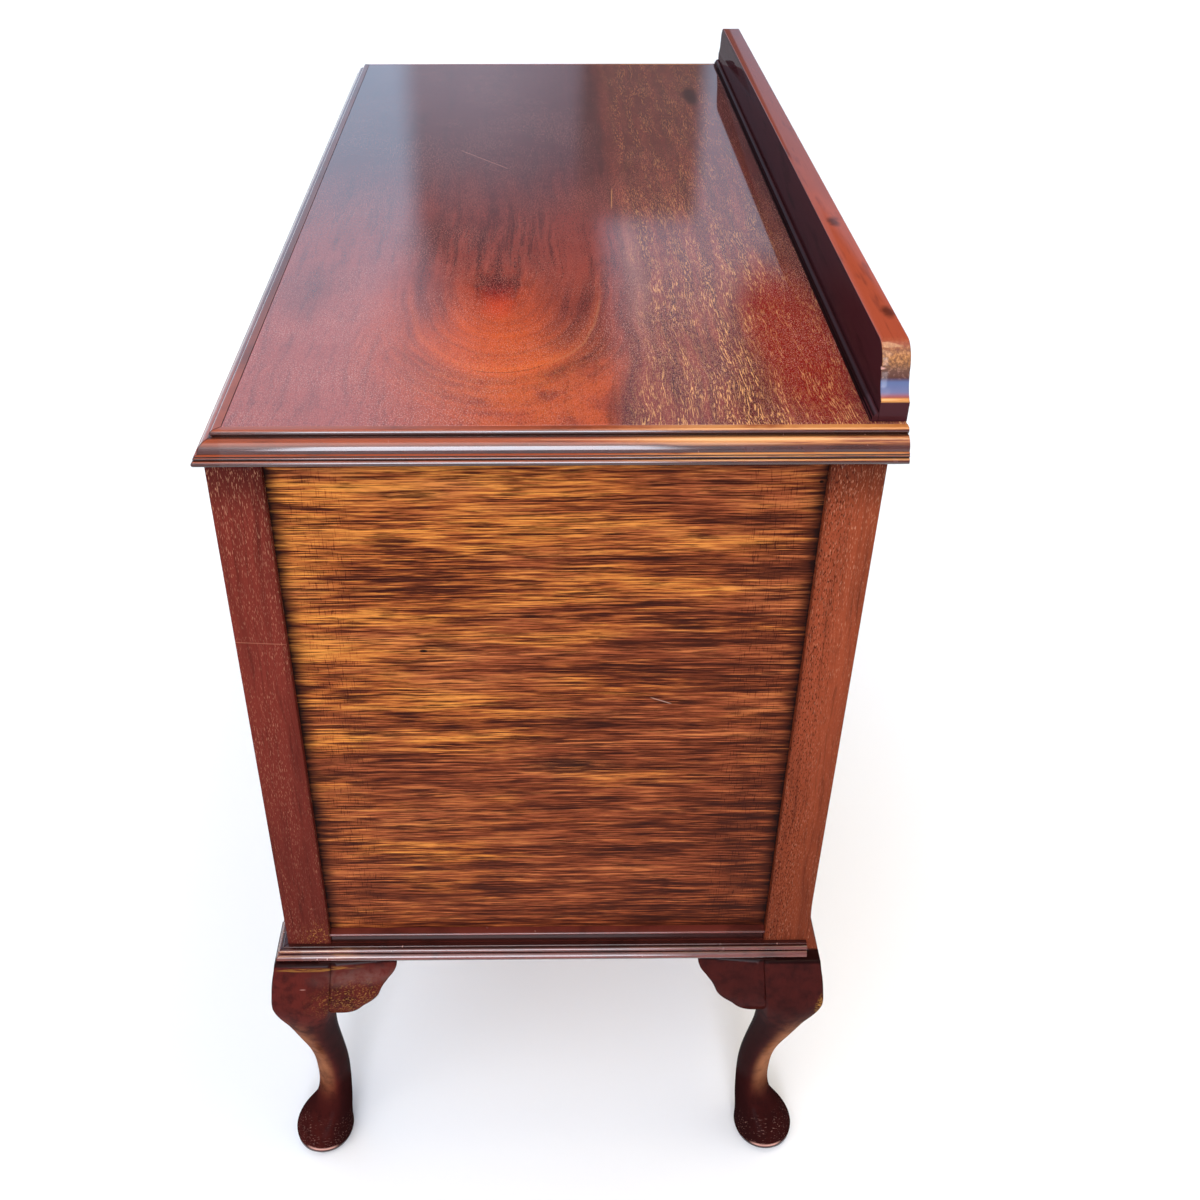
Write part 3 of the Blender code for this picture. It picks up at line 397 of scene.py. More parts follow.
def add(tree, kind, inputs=None, stops=None, **settings):
    """Add a node with its settings, its values or links by input, and a ramp's stops. Returns its outputs."""
    node = tree.nodes.new(kind)
    for name, value in settings.items():
        setattr(node, name, value)
    for key, value in (inputs or {}).items():
        if isinstance(value, Field):
            tree.links.new(value.socket, node.inputs[key])
        else:
            node.inputs[key].default_value = value
    if stops:
        elements = node.color_ramp.elements
        while len(elements) < len(stops):
            elements.new(1.0)
        for element, (position, value) in zip(elements, stops):
            element.position = position
            element.color = value
    return [Field(socket) for socket in node.outputs]


def parts_of(vector):
    return add(vector.tree, "ShaderNodeSeparateXYZ", {0: vector})


def direction(place):
    """The three parts of the direction that the surface faces, the second output of its node."""
    return parts_of(add(place.tree, "ShaderNodeNewGeometry")[1])


def blotches(place, across, detail=3.0, distortion=0.0):
    """Soft random blotches about so many metres across, from 0 to 1."""
    return add(place.tree, "ShaderNodeTexNoise", {"Vector": place, "Scale": 1 / across, "Detail": detail,
                                                  "Roughness": 0.6, "Distortion": distortion})[0]


def grain(place, along, length, width, seed=0.0, detail=3.0, distortion=0.0):
    """Streaks of a given length and width in metres, along one axis, from 0 to 1."""
    scale = [1 / width] * 3
    scale["XYZ".index(along)] = 1 / length
    start = (seed,) * 3
    moved = add(place.tree, "ShaderNodeMapping", {"Vector": place, "Scale": scale, "Location": start})[0]
    return blotches(moved, 1.0, detail, distortion)


def warp(place, across, amount):
    """The place, pushed about by up to an amount, in waves about so many metres across."""
    push = add(place.tree, "ShaderNodeTexNoise", {"Vector": place, "Scale": 1 / across, "Detail": 2.0})[1]
    centred = add(place.tree, "ShaderNodeVectorMath", {0: push, 1: (0.5,) * 3}, operation="SUBTRACT")[0]
    return add(place.tree, "ShaderNodeVectorMath", {0: centred, 1: (2 * amount,) * 3, 2: place},
               operation="MULTIPLY_ADD")[0]


def spot(place, centre, reach, soft=0.4):
    """1 in an oval round a centre, with a soft rim. A reach of 0 leaves that axis out."""
    scale = [1 / r if r else 0.0 for r in reach]
    offset = [-c * k for c, k in zip(centre, scale)]
    moved = add(place.tree, "ShaderNodeMapping", {"Vector": place, "Scale": scale, "Location": offset})[0]
    distance = add(place.tree, "ShaderNodeVectorMath", {0: moved}, operation="LENGTH")[1]
    return distance.step(1.0 + soft, 1.0 - soft)


def swing(middle, *terms):
    """A value that swings about its middle with noises, as (noise, amount)."""
    value = middle - 0.5 * sum(amount for _, amount in terms)
    for noise, amount in terms:
        value = noise * amount + value
    return value


def paint(ground, *layers):
    """Lay colours over a ground in turn, as (colour, mask). A mask of 1 hides what lies below."""
    for colour_over, mask in layers:
        ground = add(mask.tree, "ShaderNodeMix", {0: mask, 6: ground, 7: colour_over}, data_type="RGBA")[2]
    return ground


def start_material(name):
    """A new material, the place on its object and that place's three parts."""
    material = bpy.data.materials.new(name)
    material.use_nodes = True
    material.node_tree.nodes.clear()
    # The object's own coordinates are the node's fourth output
    place = add(material.node_tree, "ShaderNodeTexCoord")[3]
    return material, place, parts_of(place)


def polish(colour_in, roughness, height, bump, specular=0.5, coat=0.0, coat_roughness=0.05, metal=0.0):
    """End a material in its shader. Height raises the surface by bump, in metres."""
    normal = add(height.tree, "ShaderNodeBump", {"Height": height, "Distance": bump, "Strength": 1.0})[0]
    inputs = {"Base Color": colour_in, "Roughness": roughness, "Normal": normal, "Metallic": metal,
              "Specular IOR Level": specular, "Coat Weight": coat, "Coat Roughness": coat_roughness}
    shader = add(height.tree, "ShaderNodeBsdfPrincipled", inputs)[0]
    add(height.tree, "ShaderNodeOutputMaterial", {"Surface": shader})


# Materials
def french_polished_crotch_veneer(c):
    """Mahogany crotch veneer under French polish: a mirror gloss over a flame figure and gold pores."""
    material, place, (x, y, _) = start_material("French polished crotch veneer")
    drift = warp(place, 0.110, 0.010)
    drift_x, drift_y, _ = parts_of(drift)
    # Rings of the flame: ovals on the near side of a knot, and straight lines along X past it
    knot_x, knot_y = 0.265, -0.035
    long_way = (drift_x - knot_x).math("MAXIMUM", 0.0) / 0.165
    cross_way = (drift_y - knot_y) / 0.085
    ring = (long_way * long_way + cross_way * cross_way) ** 0.5
    ring_place = add(place.tree, "ShaderNodeCombineXYZ", {0: ring * 8.0, 1: x * 3.0})[0]
    arcs = blotches(ring_place, 1.0, 4.0)
    near_rings = ring.step(1.8, 1.0) * x.step(0.20, 0.32) * y.step(-0.170, -0.070)
    # Broad colour: purple brown far off, red brown near, orange in the flame, dusky at its sides
    broad = grain(drift, "X", 0.22, 0.030, 3.0)
    streaks = grain(drift, "X", 0.14, 0.007, 9.0, 2.0)
    nearness = x + broad * 0.4 - 0.2
    flame = (ring - broad + 0.5).step(2.0, 0.3) * x.step(0.20, 0.40)
    outside = flame * -0.75 + 1.0
    patchy = blotches(drift, 0.030).step(0.74, 0.36)
    tone = paint(
        c.top_purple,
        (c.top_red, nearness.step(-0.16, 0.36)),
        (c.top_orange, flame * 0.95),
        (c.top_deep, outside * broad.step(0.50, 0.76) * 0.42),
        (c.top_deep, outside * streaks.step(0.46, 0.74) * 0.30),
        (c.top_purple, near_rings * arcs.step(0.46, 0.62) * 0.60),
        (c.top_glow, near_rings * arcs.step(0.48, 0.34) * 0.45),
        (c.top_purple, spot(drift, (0.330, 0.030, 0.0), (0.075, 0.040, 0.0), 0.7) * 0.50),
        (c.top_purple, spot(drift, (0.300, -0.100, 0.0), (0.060, 0.020, 0.0), 0.9) * 0.35),
        (c.top_glow, spot(drift, (0.480, -0.010, 0.0), (0.085, 0.075, 0.0), 0.6) * patchy * 0.45))
    # Dark clouds and streaks on the far side of the knot
    behind = (spot(drift, (0.205, 0.052, 0.0), (0.075, 0.014, 0.0), 0.6) * 0.7
              + spot(drift, (0.150, -0.045, 0.0), (0.120, 0.056, 0.0), 0.8))
    smoke = grain(drift, "X", 0.20, 0.0070, 13.0, 2.0).step(0.36, 0.76)
    tone = paint(
        tone,
        (c.top_deep, behind * smoke * 0.72),
        (c.top_deep, spot(drift, (0.135, -0.110, 0.0), (0.045, 0.020, 0.0), 0.8) * 0.40),
        (c.top_deep, spot(drift, (0.270, -0.205, 0.0), (0.050, 0.020, 0.0), 0.8) * 0.35))
    # The knot: an ember under a dark cap, with three soft dark horns running away from it
    torn = warp(place, 0.016, 0.006)
    knot = ((c.top_orange, 0.340, -0.042, 0.080, 0.036, 0.50),
            (c.top_crimson, 0.268, -0.041, 0.034, 0.018, 0.85),
            (c.top_deep, 0.246, -0.041, 0.016, 0.019, 0.55),
            (c.top_ember, 0.302, -0.040, 0.018, 0.011, 0.55),
            (c.top_deep, 0.230, -0.0565, 0.044, 0.0030, 0.40),
            (c.top_deep, 0.222, -0.0250, 0.050, 0.0030, 0.40),
            (c.top_deep, 0.215, -0.0420, 0.030, 0.0030, 0.40))
    for shade_of_red, middle_x, middle_y, long, wide, amount in knot:
        patch = spot(torn, (middle_x, middle_y, 0.0), (long, wide, 0.0), 0.9)
        tone = paint(tone, (shade_of_red, patch * amount))
    # Arcs that stand out: a thin crack, a light line on from it and a dark speckled band below
    crack = ring.within(0.978, 0.984, 0.006) * y.within(-0.056, 0.000, 0.006) * x.step(0.34, 0.37)
    light_arc = ring.within(0.985, 0.995, 0.014) * y.within(0.004, 0.052, 0.006) * x.step(0.27, 0.31)
    dark_arc = ring.within(0.80, 0.92, 0.06) * y.step(-0.010, 0.020) * x.step(0.22, 0.29)
    speckled = (ring.within(1.06, 1.16, 0.04) * y.step(-0.015, 0.012) * x.step(0.33, 0.40)
                * blotches(place, 0.0011, 1.0).step(0.36, 0.56))
    # The second leaf of veneer, past the joint: darker, with gold in its open pores
    joint = blotches(place, 0.070) * 0.014 + x.step(0.36, 0.52) * 0.016 + y - 0.074
    leaf = joint.step(-0.007, 0.007)
    near = x.step(-0.25, 0.35) * 0.60 + 0.30
    lit = grain(drift, "X", 0.18, 0.012, 21.0).step(0.40, 0.66) * 0.75 + 0.25
    rosy = [0.70 * red + 0.30 * purple for red, purple in zip(c.top_red, c.top_purple)]
    # A crimson patch beside the gallery is a painted dark reflection
    painted_dark_reflection = spot(drift, (0.37, 0.205, 0.0), (0.14, 0.034, 0.0), 0.5)
    shade = drift_y.step(0.198, 0.222) * x.step(0.42, 0.20)
    second = paint(
        c.top_leaf,
        (rosy, lit * near),
        (c.top_deep, grain(drift, "X", 0.10, 0.006, 27.0).step(0.50, 0.70) * 0.30),
        (c.top_crimson, painted_dark_reflection * 0.95),
        (c.top_deep, shade * 0.55))
    seam = joint.within(-0.006, 0.001, 0.006) * streaks.step(0.30, 0.70)
    pale = joint.within(0.006, 0.020, 0.008) * x.within(0.10, 0.36, 0.08)
    # Pores: gold flecks along the grain past the joint, and fine rosy dust before it
    clump = grain(drift, "X", 0.09, 0.010, 31.0, 2.0).step(0.38, 0.60) * 0.78 + 0.22
    fewer_far_off = x.step(-0.05, 0.38) * 0.72 + 0.28
    clump = clump * joint.step(0.004, 0.024) * (shade * -0.9 + 1.0) * fewer_far_off
    flecks = grain(drift, "X", 0.0130, 0.00080, 41.0, 1.0, 0.3).step(0.560, 0.610) * clump
    crumbs = grain(place, "X", 0.0022, 0.00090, 45.0, 1.0).step(0.55, 0.64)
    gilt = leaf * near * 0.24 + flame * x.step(0.30, 0.45) * 0.45
    dust = grain(place, "X", 0.0015, 0.00085, 51.0, 1.0).step(0.54, 0.68)
    dust_here = blotches(place, 0.090).step(0.30, 0.70) * 0.55 + 0.25
    dust_near = x.step(0.0, 0.3) * 0.45 + 0.55
    pits = grain(place, "X", 0.0026, 0.00095, 55.0, 1.0).step(0.53, 0.66)
    # A dark spot and old scratches in the polish
    burn = spot(drift, (-0.356, 0.183, 0.0), (0.040, 0.010, 0.0), 0.5)
    across_scratch = x * 0.64 - y * 0.77
    along_scratch = x * 0.77 + y * 0.64 + 0.139
    scratch = across_scratch.within(-0.0155, -0.0148, 0.0006) * along_scratch.within(-0.022, 0.061, 0.004)
    nick = (x * 0.05 + y - 0.069).within(0.0016, 0.0022, 0.0005) * x.within(0.0, 0.055, 0.008)
    tone = paint(
        tone,
        (c.top_deep, crack * 0.80),
        (c.top_fleck, light_arc * 0.26),
        (c.top_deep, dark_arc * 0.26),
        (c.top_deep, speckled * 0.42),
        (second, leaf),
        (c.top_deep, seam * 0.42),
        (c.top_rose, pale * 0.16),
        (c.top_fleck, flecks * 0.90),
        (c.top_fleck, crumbs * gilt * 0.70),
        (c.top_crimson, painted_dark_reflection * 0.50),
        (c.top_rose, dust * dust_here * dust_near * 0.75),
        (c.top_deep, pits * 0.36),
        (c.top_deep, burn * 0.85),
        (c.top_rose, scratch * 0.45),
        (c.top_fleck, nick * 0.6))
    # The painted dark reflection has a thinner coat, so that its painted colour shows
    polish(tone, 0.5, flecks * -0.3 - dust * 0.1, 0.00010, specular=0.0, coat=painted_dark_reflection * -0.80 + 1.0,
           coat_roughness=0.05)
    return material


def rubbed_moulding(c):
    """Polished mahogany strip: painted shade in the quirks and under it, red brown flanks, and painted light
    and gold on the upper rounds, the gold partly rubbed and partly a painted highlight.
    """
    material, place, (x, y, z) = start_material("Rubbed mahogany moulding")
    # Hair lines 2 mm thick, drawn out to 70 mm along the strip
    scale = (1 / 0.070, 1 / 0.070, 1 / 0.002)
    lines = blotches(add(place.tree, "ShaderNodeMapping", {"Vector": place, "Scale": scale})[0], 1.0, 4.0)
    patches = blotches(place, 0.045, 4.0)
    _, _, up = direction(place)
    on_edge = z.step(0.45, 0.75)
    # Gold on the upward rounds towards the back, partly rubbed wood and partly a painted highlight
    golden = up.step(0.45, 0.80) * y.step(0.02, 0.12) * on_edge * lines.step(0.68, 0.42)
    tone = paint(
        c.moulding_base,
        (c.moulding_red, on_edge),
        (c.moulding_dark, patches.step(0.55, 0.30) * 0.50),
        # Upward faces are painted lighter orange, a painted light
        (c.moulding_orange, up.step(0.45, 0.85) * on_edge * 0.9),
        (c.moulding_gold, golden * 0.65),
        (c.moulding_dark, lines.step(0.48, 0.74) * 0.50),
        # Downward faces are painted dark, a painted shade
        (c.moulding_dark, up.step(0.0, -0.5) * 0.85))
    # The quirks are painted dark as shade, at these heights over the foot of the edge and of the base
    # moulding
    for foot, heights in ((EDGE_LOW[2], (0.0050, 0.0075, 0.0178)), (BASE_LOW[2], (0.0087, 0.0140))):
        for height in heights:
            quirk_shade = z.within(foot + height - 0.0004, foot + height + 0.0004, 0.0003)
            tone = paint(tone, (c.moulding_dark, quirk_shade * 0.95))
    # The recess over the base moulding is painted nearly black as shade
    recess = z.within(BASE_HIGH[2] - 0.0004, RAIL_HIGH[2] - 0.0032, 0.0006)
    # Hands and shoes have worn the front corner of the base
    worn = (y.step(-0.14, -0.25) * up.step(0.1, 0.6) * lines.step(0.56, 0.40)
            * z.step(BASE_HIGH[2], BASE_HIGH[2] - 0.002))
    in_front = y.step(TOP_LOW[1] + 0.002, TOP_LOW[1] - 0.002)
    chips = blotches(place, 0.0048, 1.0).step(0.77, 0.80)
    tone = paint(
        tone,
        (c.moulding_dark, recess * 0.75),
        (c.moulding_gold, worn * 0.55),
        # Runs in front of the top's front edge are painted darker away from the near end, a painted dark
        # reflection
        (c.moulding_dark, in_front * x.step(0.50, 0.20) * 0.60),
        (c.top_rose, chips * 0.6))
    # The polish is rubbed thin on the upper rounds, along the front and over the base moulding
    over_base = z.step(BASE_HIGH[2] - 0.001, BASE_HIGH[2] + 0.001)
    coat = on_edge * (up.step(0.72, 0.92) * -0.55 + 0.55) - over_base * 0.40 - in_front * 0.45 + 0.85
    polish(tone, patches * 0.22 + 0.12, lines * 0.3 - chips * 2.0, 0.00012, specular=0.30, coat=coat,
           coat_roughness=0.04)
    return material


def gallery_polish(c):
    """Dark polished mahogany board: near black on its front, faded orange brown on its upper edge."""
    material, place, (x, _, z) = start_material("Dark polished gallery")
    lines = grain(place, "X", 0.05, 0.0016, 2.0)
    broad = grain(place, "X", 0.10, 0.016, 7.0)
    _, across, up = direction(place)
    dark = paint(
        c.gallery_dark,
        (c.moulding_dark, broad.step(0.45, 0.75) * 0.4),
        # Darker towards the foot, a painted shade where the board meets the top
        (c.moulding_dark, z.step(TOP_HIGH[2] + 0.012, TOP_HIGH[2] + 0.002) * 0.8))
    stained = warp(place, 0.008, 0.003)
    light = paint(
        c.gallery_top,
        (c.gallery_glow, (x + broad * 0.4 - 0.2).step(0.0, 0.35)),
        (c.gallery_dark, x.step(0.10, -0.55) * 0.35),
        (c.gallery_dark, broad.step(0.56, 0.72) * 0.50),
        (c.moulding_dark, spot(stained, (0.244, 0.249, 0.0), (0.010, 0.0045, 0.0), 0.6) * 0.70),
        (c.moulding_dark, spot(stained, (0.436, 0.254, 0.0), (0.010, 0.0045, 0.0), 0.6) * 0.70))
    on_top = up.step(0.3, 0.8) * z.step(BEAD_HIGH[2], BEAD_HIGH[2] + 0.004)
    # The moulded ends: brown, with a rubbed shoulder whose top is gold, partly rubbed and partly a painted
    # highlight, a painted bluish sky reflection in the hollow, and a gold line on the ledge, partly rubbed
    # and partly a painted highlight
    end = abs(x).step(GALLERY_HIGH[0] - 0.034, GALLERY_HIGH[0] - 0.026) * abs(across).step(0.90, 0.60)
    foot = TOP_HIGH[2] + 0.016
    mottle = blotches(place, 0.0022, 3.0)
    shoulder = end * z.within(foot + 0.013, foot + 0.034, 0.004)
    # Gold on the top of the shoulder, partly rubbed and partly a painted highlight
    gold = end * z.within(foot + 0.022, foot + 0.032, 0.006) * mottle.step(0.25, 0.75)
    tone = paint(
        dark,
        (light, on_top),
        (c.moulding_dark, lines.step(0.55, 0.85) * 0.4),
        (c.gallery_dark, end * z.step(foot + 0.003, foot - 0.001) * 0.9),
        (c.gallery_end, shoulder * 0.85),
        (c.moulding_gold, gold * 0.75),
        (c.top_rose, shoulder * mottle.step(0.50, 0.70) * 0.20),
        (c.gallery_sky_reflection, end * z.within(foot + 0.003, foot + 0.012, 0.002) * 0.85),
        # A gold line on the ledge, partly rubbed and partly a painted highlight
        (c.moulding_gold, end * z.within(foot - 0.0005, foot + 0.0015, 0.0006) * 0.85),
        (c.top_rose, spot(place, (0.497, GALLERY_LOW[1], 0.898), (0.0012, 0.004, 0.0012), 0.3)))
    # The front has gone dull, and the top and the ends keep more of their gloss
    polish(tone, 0.5, lines, 0.00004, specular=0.0, coat=on_top * 0.45 + end * 0.10 + 0.12,
           coat_roughness=0.06)
    return material


def stained_leg(c):
    """Stained mahogany: pale pores and painted shade under the top on the posts; on the legs dark stain,
    painted shade on inner faces, under the knees and under the base moulding, and tan curves partly rubbed
    and partly painted light.
    """
    material, place, (x, y, z) = start_material("Stained mahogany post and leg")
    drift = warp(place, 0.080, 0.004)
    lines = grain(drift, "Z", 0.06, 0.0016, 1.0)
    broad = grain(drift, "Z", 0.16, 0.011, 4.0)
    crumbs = blotches(place, 0.0019, 2.0)
    # Posts
    back = y.step(-0.12, 0.12)
    pores = grain(place, "Z", 0.0050, 0.0006, 11.0, 1.0).step(0.60, 0.68)
    pores_here = broad.step(0.60, 0.40) * 0.30 + z.step(0.62, 0.82) * 0.40 + 0.12
    pits = grain(place, "Z", 0.0040, 0.0009, 17.0, 1.0).step(0.52, 0.66) * back
    scratch = ((y * 0.06 + z - 0.6515).within(0.0122, 0.0128, 0.0004) * y.step(-0.20, -0.21)
               * x.step(0.0, 0.1))
    low_dust = spot(place, (0.0, -0.216, 0.322), (0.0, 0.014, 0.020), 0.7)
    tone = paint(
        c.post_red,
        (c.post_orange, back),
        (c.leg_dark, lines.step(0.46, 0.80) * 0.50),
        (c.leg_dark, broad.step(0.48, 0.76) * 0.35),
        (c.leg_dark, z.step(0.70, 0.33) * 0.38),
        # Painted shade on the posts just under the top
        (c.leg_dark, z.step(TOP_LOW[2] - 0.050, TOP_LOW[2] - 0.008) * 0.55),
        (c.post_fleck, pores * pores_here * 0.70),
        (c.leg_dark, pits * y.step(0.236, 0.216) * 0.75),
        (c.post_fleck, scratch * 0.30),
        (c.leg_worn, low_dust * crumbs.step(0.56, 0.68) * 0.55))
    # Legs, by the height and by how far a face looks outward. The outward faces of the shins are tan, partly
    # rubbed and partly painted light; the inner faces and a band under the knees are painted dark as shade
    cloud = blotches(place, 0.050, 2.0)
    mottle = blotches(place, 0.011, 4.0)
    normal_x, normal_y, _ = direction(place)
    outward = normal_y * y.math("SIGN")
    rubbed_and_lit_shin = (z.within(0.085, 0.205, 0.035) * outward.step(-0.40, 0.35)
            * (cloud * 0.5 + mottle * 0.5).step(0.80, 0.36))
    leg = paint(
        c.leg_brown,
        (c.leg_dark, cloud.step(0.40, 0.75) * 0.45),
        (c.leg_dark, mottle.step(0.42, 0.70) * 0.62),
        (c.leg_dark, lines.step(0.50, 0.80) * 0.40),
        (c.leg_dark, y.step(-0.05, 0.15) * 0.55),
        (c.leg_tan, rubbed_and_lit_shin * 0.95),
        # Inner faces painted dark, a painted shade
        (c.leg_dark, outward.step(0.05, -0.65) * z.step(0.228, 0.190) * 0.85),
        (c.leg_dark, z.step(0.085, 0.045) * 0.62),
        # A band under the knees painted dark, a painted shade
        (c.leg_dark, z.within(0.202, 0.222, 0.010) * mottle.step(0.35, 0.60) * 0.55))
    # Gold where the stain is rubbed: under the base moulding, on the ears and on the back knees
    rim = (z.within(CASE_BOTTOM - 0.0080, CASE_BOTTOM - 0.0050, 0.0010) * y.step(-0.17, -0.20)
           * y.step(-0.262, -0.245) * grain(place, "Y", 0.02, 0.002, 5.0).step(0.40, 0.60))
    low_ear = spot(drift, (0.0, -0.186, 0.252), (0.0, 0.032, 0.024), 0.7)
    painted_ear_sheen = spot(drift, (0.0, -0.180, 0.286), (0.0, 0.034, 0.009), 0.8)
    knee = (spot(drift, (0.0, 0.270, 0.246), (0.0, 0.008, 0.016), 0.6)
            * abs(x).step(POST_X - 0.016, POST_X - 0.004) * (normal_x * normal_x).step(0.25, 0.60))
    # Scuffs on the feet, a pale crescent on their rims that is a painted highlight, and a nick in each knee
    scuffs = grain(place, "Y", 0.006, 0.0014, 23.0, 2.0).step(0.60, 0.70)
    painted_rim_highlight = z.within(0.0105, 0.0140, 0.0012) * (normal_y * normal_y).step(0.35, 0.08)
    leg = paint(
        leg,
        (c.leg_worn, rim * 0.38),
        (c.leg_worn, low_ear * crumbs.step(0.52, 0.66) * 0.36),
        # A painted rosy sheen on the tops of the ears
        (c.top_rose, painted_ear_sheen * mottle.step(0.20, 0.70) * 0.13),
        (c.leg_worn, knee * crumbs.step(0.46, 0.58) * 0.85),
        (c.top_rose, scuffs * z.step(0.045, 0.030) * 0.20),
        (c.top_rose, painted_rim_highlight * 0.75),
        (c.top_rose, spot(place, (0.0, -0.234, 0.276), (0.0, 0.0026, 0.0005), 0.5) * 0.35),
        (c.top_rose, spot(place, (0.0, 0.147, 0.279), (0.0, 0.0026, 0.0005), 0.5) * 0.35),
        # Darkest just under the base moulding, a painted shade
        (c.moulding_dark, z.step(CASE_BOTTOM - 0.0045, CASE_BOTTOM - 0.002) * 0.8))
    on_leg = z.step(CASE_BOTTOM + 0.004, CASE_BOTTOM - 0.001)
    height = lines * 0.05 - pores * 0.05 + mottle * on_leg * 0.25
    # The rims of the feet keep a gloss, and the rest is nearly dull
    coat = on_leg * 0.03 - z.step(0.100, 0.080) * 0.07 + z.step(FOOT_RIM + 0.004, FOOT_RIM) * 0.90 + 0.05
    polish(paint(tone, (leg, on_leg)), mottle * 0.25 + 0.32, height, 0.0012, specular=0.0, coat=coat,
           coat_roughness=0.10)
    return material


def streaked_panel(c):
    """Streaked mahogany panel under thin old polish: crisp gold and dark lines, with painted shade along its
    borders.
    """
    material, place, (_, y, z) = start_material("Streaked mahogany panel")
    drift = warp(place, 0.140, 0.0020)
    # The finest lines are half a millimetre wide, and are drawn at 1 mm so that they show
    hair = grain(drift, "Y", 0.034, 0.0010, 3.0, 4.0)
    thread = grain(drift, "Y", 0.070, 0.0018, 13.0, 4.0)
    strand = grain(drift, "Y", 0.110, 0.0045, 19.0, 3.0)
    patch = grain(drift, "Y", 0.22, 0.018, 5.0, 3.0)
    fine = (hair + thread) * 0.5
    # Lighter and yellower towards the upper front corner, browner towards the lower back one
    lean = (z - y) * 0.45 - 0.27
    smudge = spot(drift, (0.0, -0.105, 0.736), (0.0, 0.060, 0.024), 0.7)
    # Faint upright ticks near both sides, left by old scraping
    apart = abs(y)
    ticks = grain(place, "Z", 0.012, 0.0009, 29.0, 1.0).step(0.60, 0.68) * apart.within(0.150, 0.192, 0.008)
    value = swing(0.51, (hair, 1.75), (thread, 1.20), (strand, 0.80), (patch, 1.15))
    value = lean * 0.8 + value - smudge * 0.26 - ticks * 0.20
    shadows = [(0.12, c.panel_dark), (0.37, c.panel_brown)]
    reds = shadows + [(0.62, c.panel_russet), (0.95, c.panel_copper)]
    golds = shadows + [(0.56, c.panel_amber), (0.90, c.panel_gold)]
    red, gold = (add(place.tree, "ShaderNodeValToRGB", {0: value}, stops)[0] for stops in (reds, golds))
    warm = lean + grain(drift, "Y", 0.16, 0.035, 33.0) * 0.9
    clusters = grain(drift, "Y", 0.070, 0.0100, 37.0, 3.0).step(0.50, 0.62) * fine.step(0.58, 0.44)
    scores = grain(drift, "Y", 0.036, 0.0011, 43.0, 4.0).step(0.52, 0.59)
    # Ragged borders painted dark as shade, widest along the top, with a painted black shadow line right at
    # the frames
    ragged = swing(0.0, (strand, 0.018), (thread, 0.012))
    from_top = ragged * 0.8 - z + PANEL_TOP
    closest = (ragged - apart + 0.2055).math("MINIMUM", from_top)
    # Single marks: a worm hole, a dark knot of grain, a speck and a pale scratch
    hole = spot(place, (0.0, -0.0989, 0.6626), (0.0, 0.0032, 0.0014), 0.3)
    knot = spot(drift, (0.0, 0.020, 0.538), (0.0, 0.034, 0.010), 0.6)
    speck = spot(place, (0.0, 0.2017, 0.8178), (0.0, 0.0016, 0.0012), 0.3)
    scratch = (y * 0.385 + z - 0.6457).within(-0.0005, 0.0003, 0.0005) * y.within(0.086, 0.102, 0.002)
    tone = paint(
        red,
        (gold, warm.step(0.36, 0.62)),
        (c.panel_dark, clusters * 0.82),
        (c.panel_dark, scores * 0.68),
        # Painted shade along the borders, and a painted shadow line at the frames
        (c.panel_dark, closest.step(0.015, 0.001) * 0.85),
        (c.moulding_dark, closest.step(0.0035, 0.0) * 0.80),
        (c.moulding_dark, hole),
        (c.moulding_dark, knot * hair.step(0.66, 0.48) * 0.80),
        (c.moulding_dark, speck),
        (c.panel_pale, scratch * 0.40))
    polish(tone, hair * 0.25 + 0.35, fine, 0.00012, specular=0.05)
    return material


def grained_front(c, name, axes, joint=None):
    """Polished mahogany of the front. Its grain runs along the first axis, or the second where joint says."""
    material, place, (x, _, _) = start_material(name)
    drift = warp(place, 0.170, 0.008)
    tones = []
    for along in axes:
        lines = grain(drift, along, 0.07, 0.0018, 3.0)
        broad = grain(drift, along, 0.26, 0.022, 9.0)
        pores, flecks = (grain(place, along, 0.0060, 0.0007, seed, 1.0) for seed in (17.0, 19.0))
        tones.append(paint(
            c.front_red,
            (c.front_light, broad.step(0.42, 0.72)),
            (c.front_dark, lines.step(0.44, 0.72) * 0.7),
            (c.front_dark, pores.step(0.57, 0.66) * 0.6),
            (c.post_fleck, flecks.step(0.60, 0.67) * broad.step(0.45, 0.60) * 0.5)))
    tone = tones[0]
    if joint:
        crossing, seam = joint(x)
        tone = paint(tone, (tones[1], crossing), (c.moulding_dark, seam * 0.8))
    polish(tone, 0.4, lines, 0.00006, specular=0.05, coat=0.35, coat_roughness=0.07)
    return material


def door_joints(x):
    """Where a door's level rails are, between its upright stiles, and the dark lines where they meet."""
    middle = (DOOR_LOW[0] + DOOR_HIGH[0]) / 2
    reach = (DOOR_HIGH[0] - DOOR_LOW[0]) / 2 - STILE_WIDE
    aside = abs(abs(x) - middle)
    return aside.step(reach + GAP, reach - GAP), aside.within(reach - GAP, reach + GAP, GAP)


def plain_carcase(c, along, name):
    """Unpolished carcase wood, with open grain and a little dust."""
    material, place, _ = start_material(name)
    lines = grain(place, along, 0.10, 0.0022, 3.0)
    broad = grain(place, along, 0.40, 0.03, 9.0)
    tone = paint(
        c.inner_light,
        (c.inner_dark, lines.step(0.42, 0.72)),
        (c.inner_dark, broad.step(0.45, 0.75) * 0.6))
    polish(tone, 0.75, lines, 0.0002, specular=0.2)
    return material


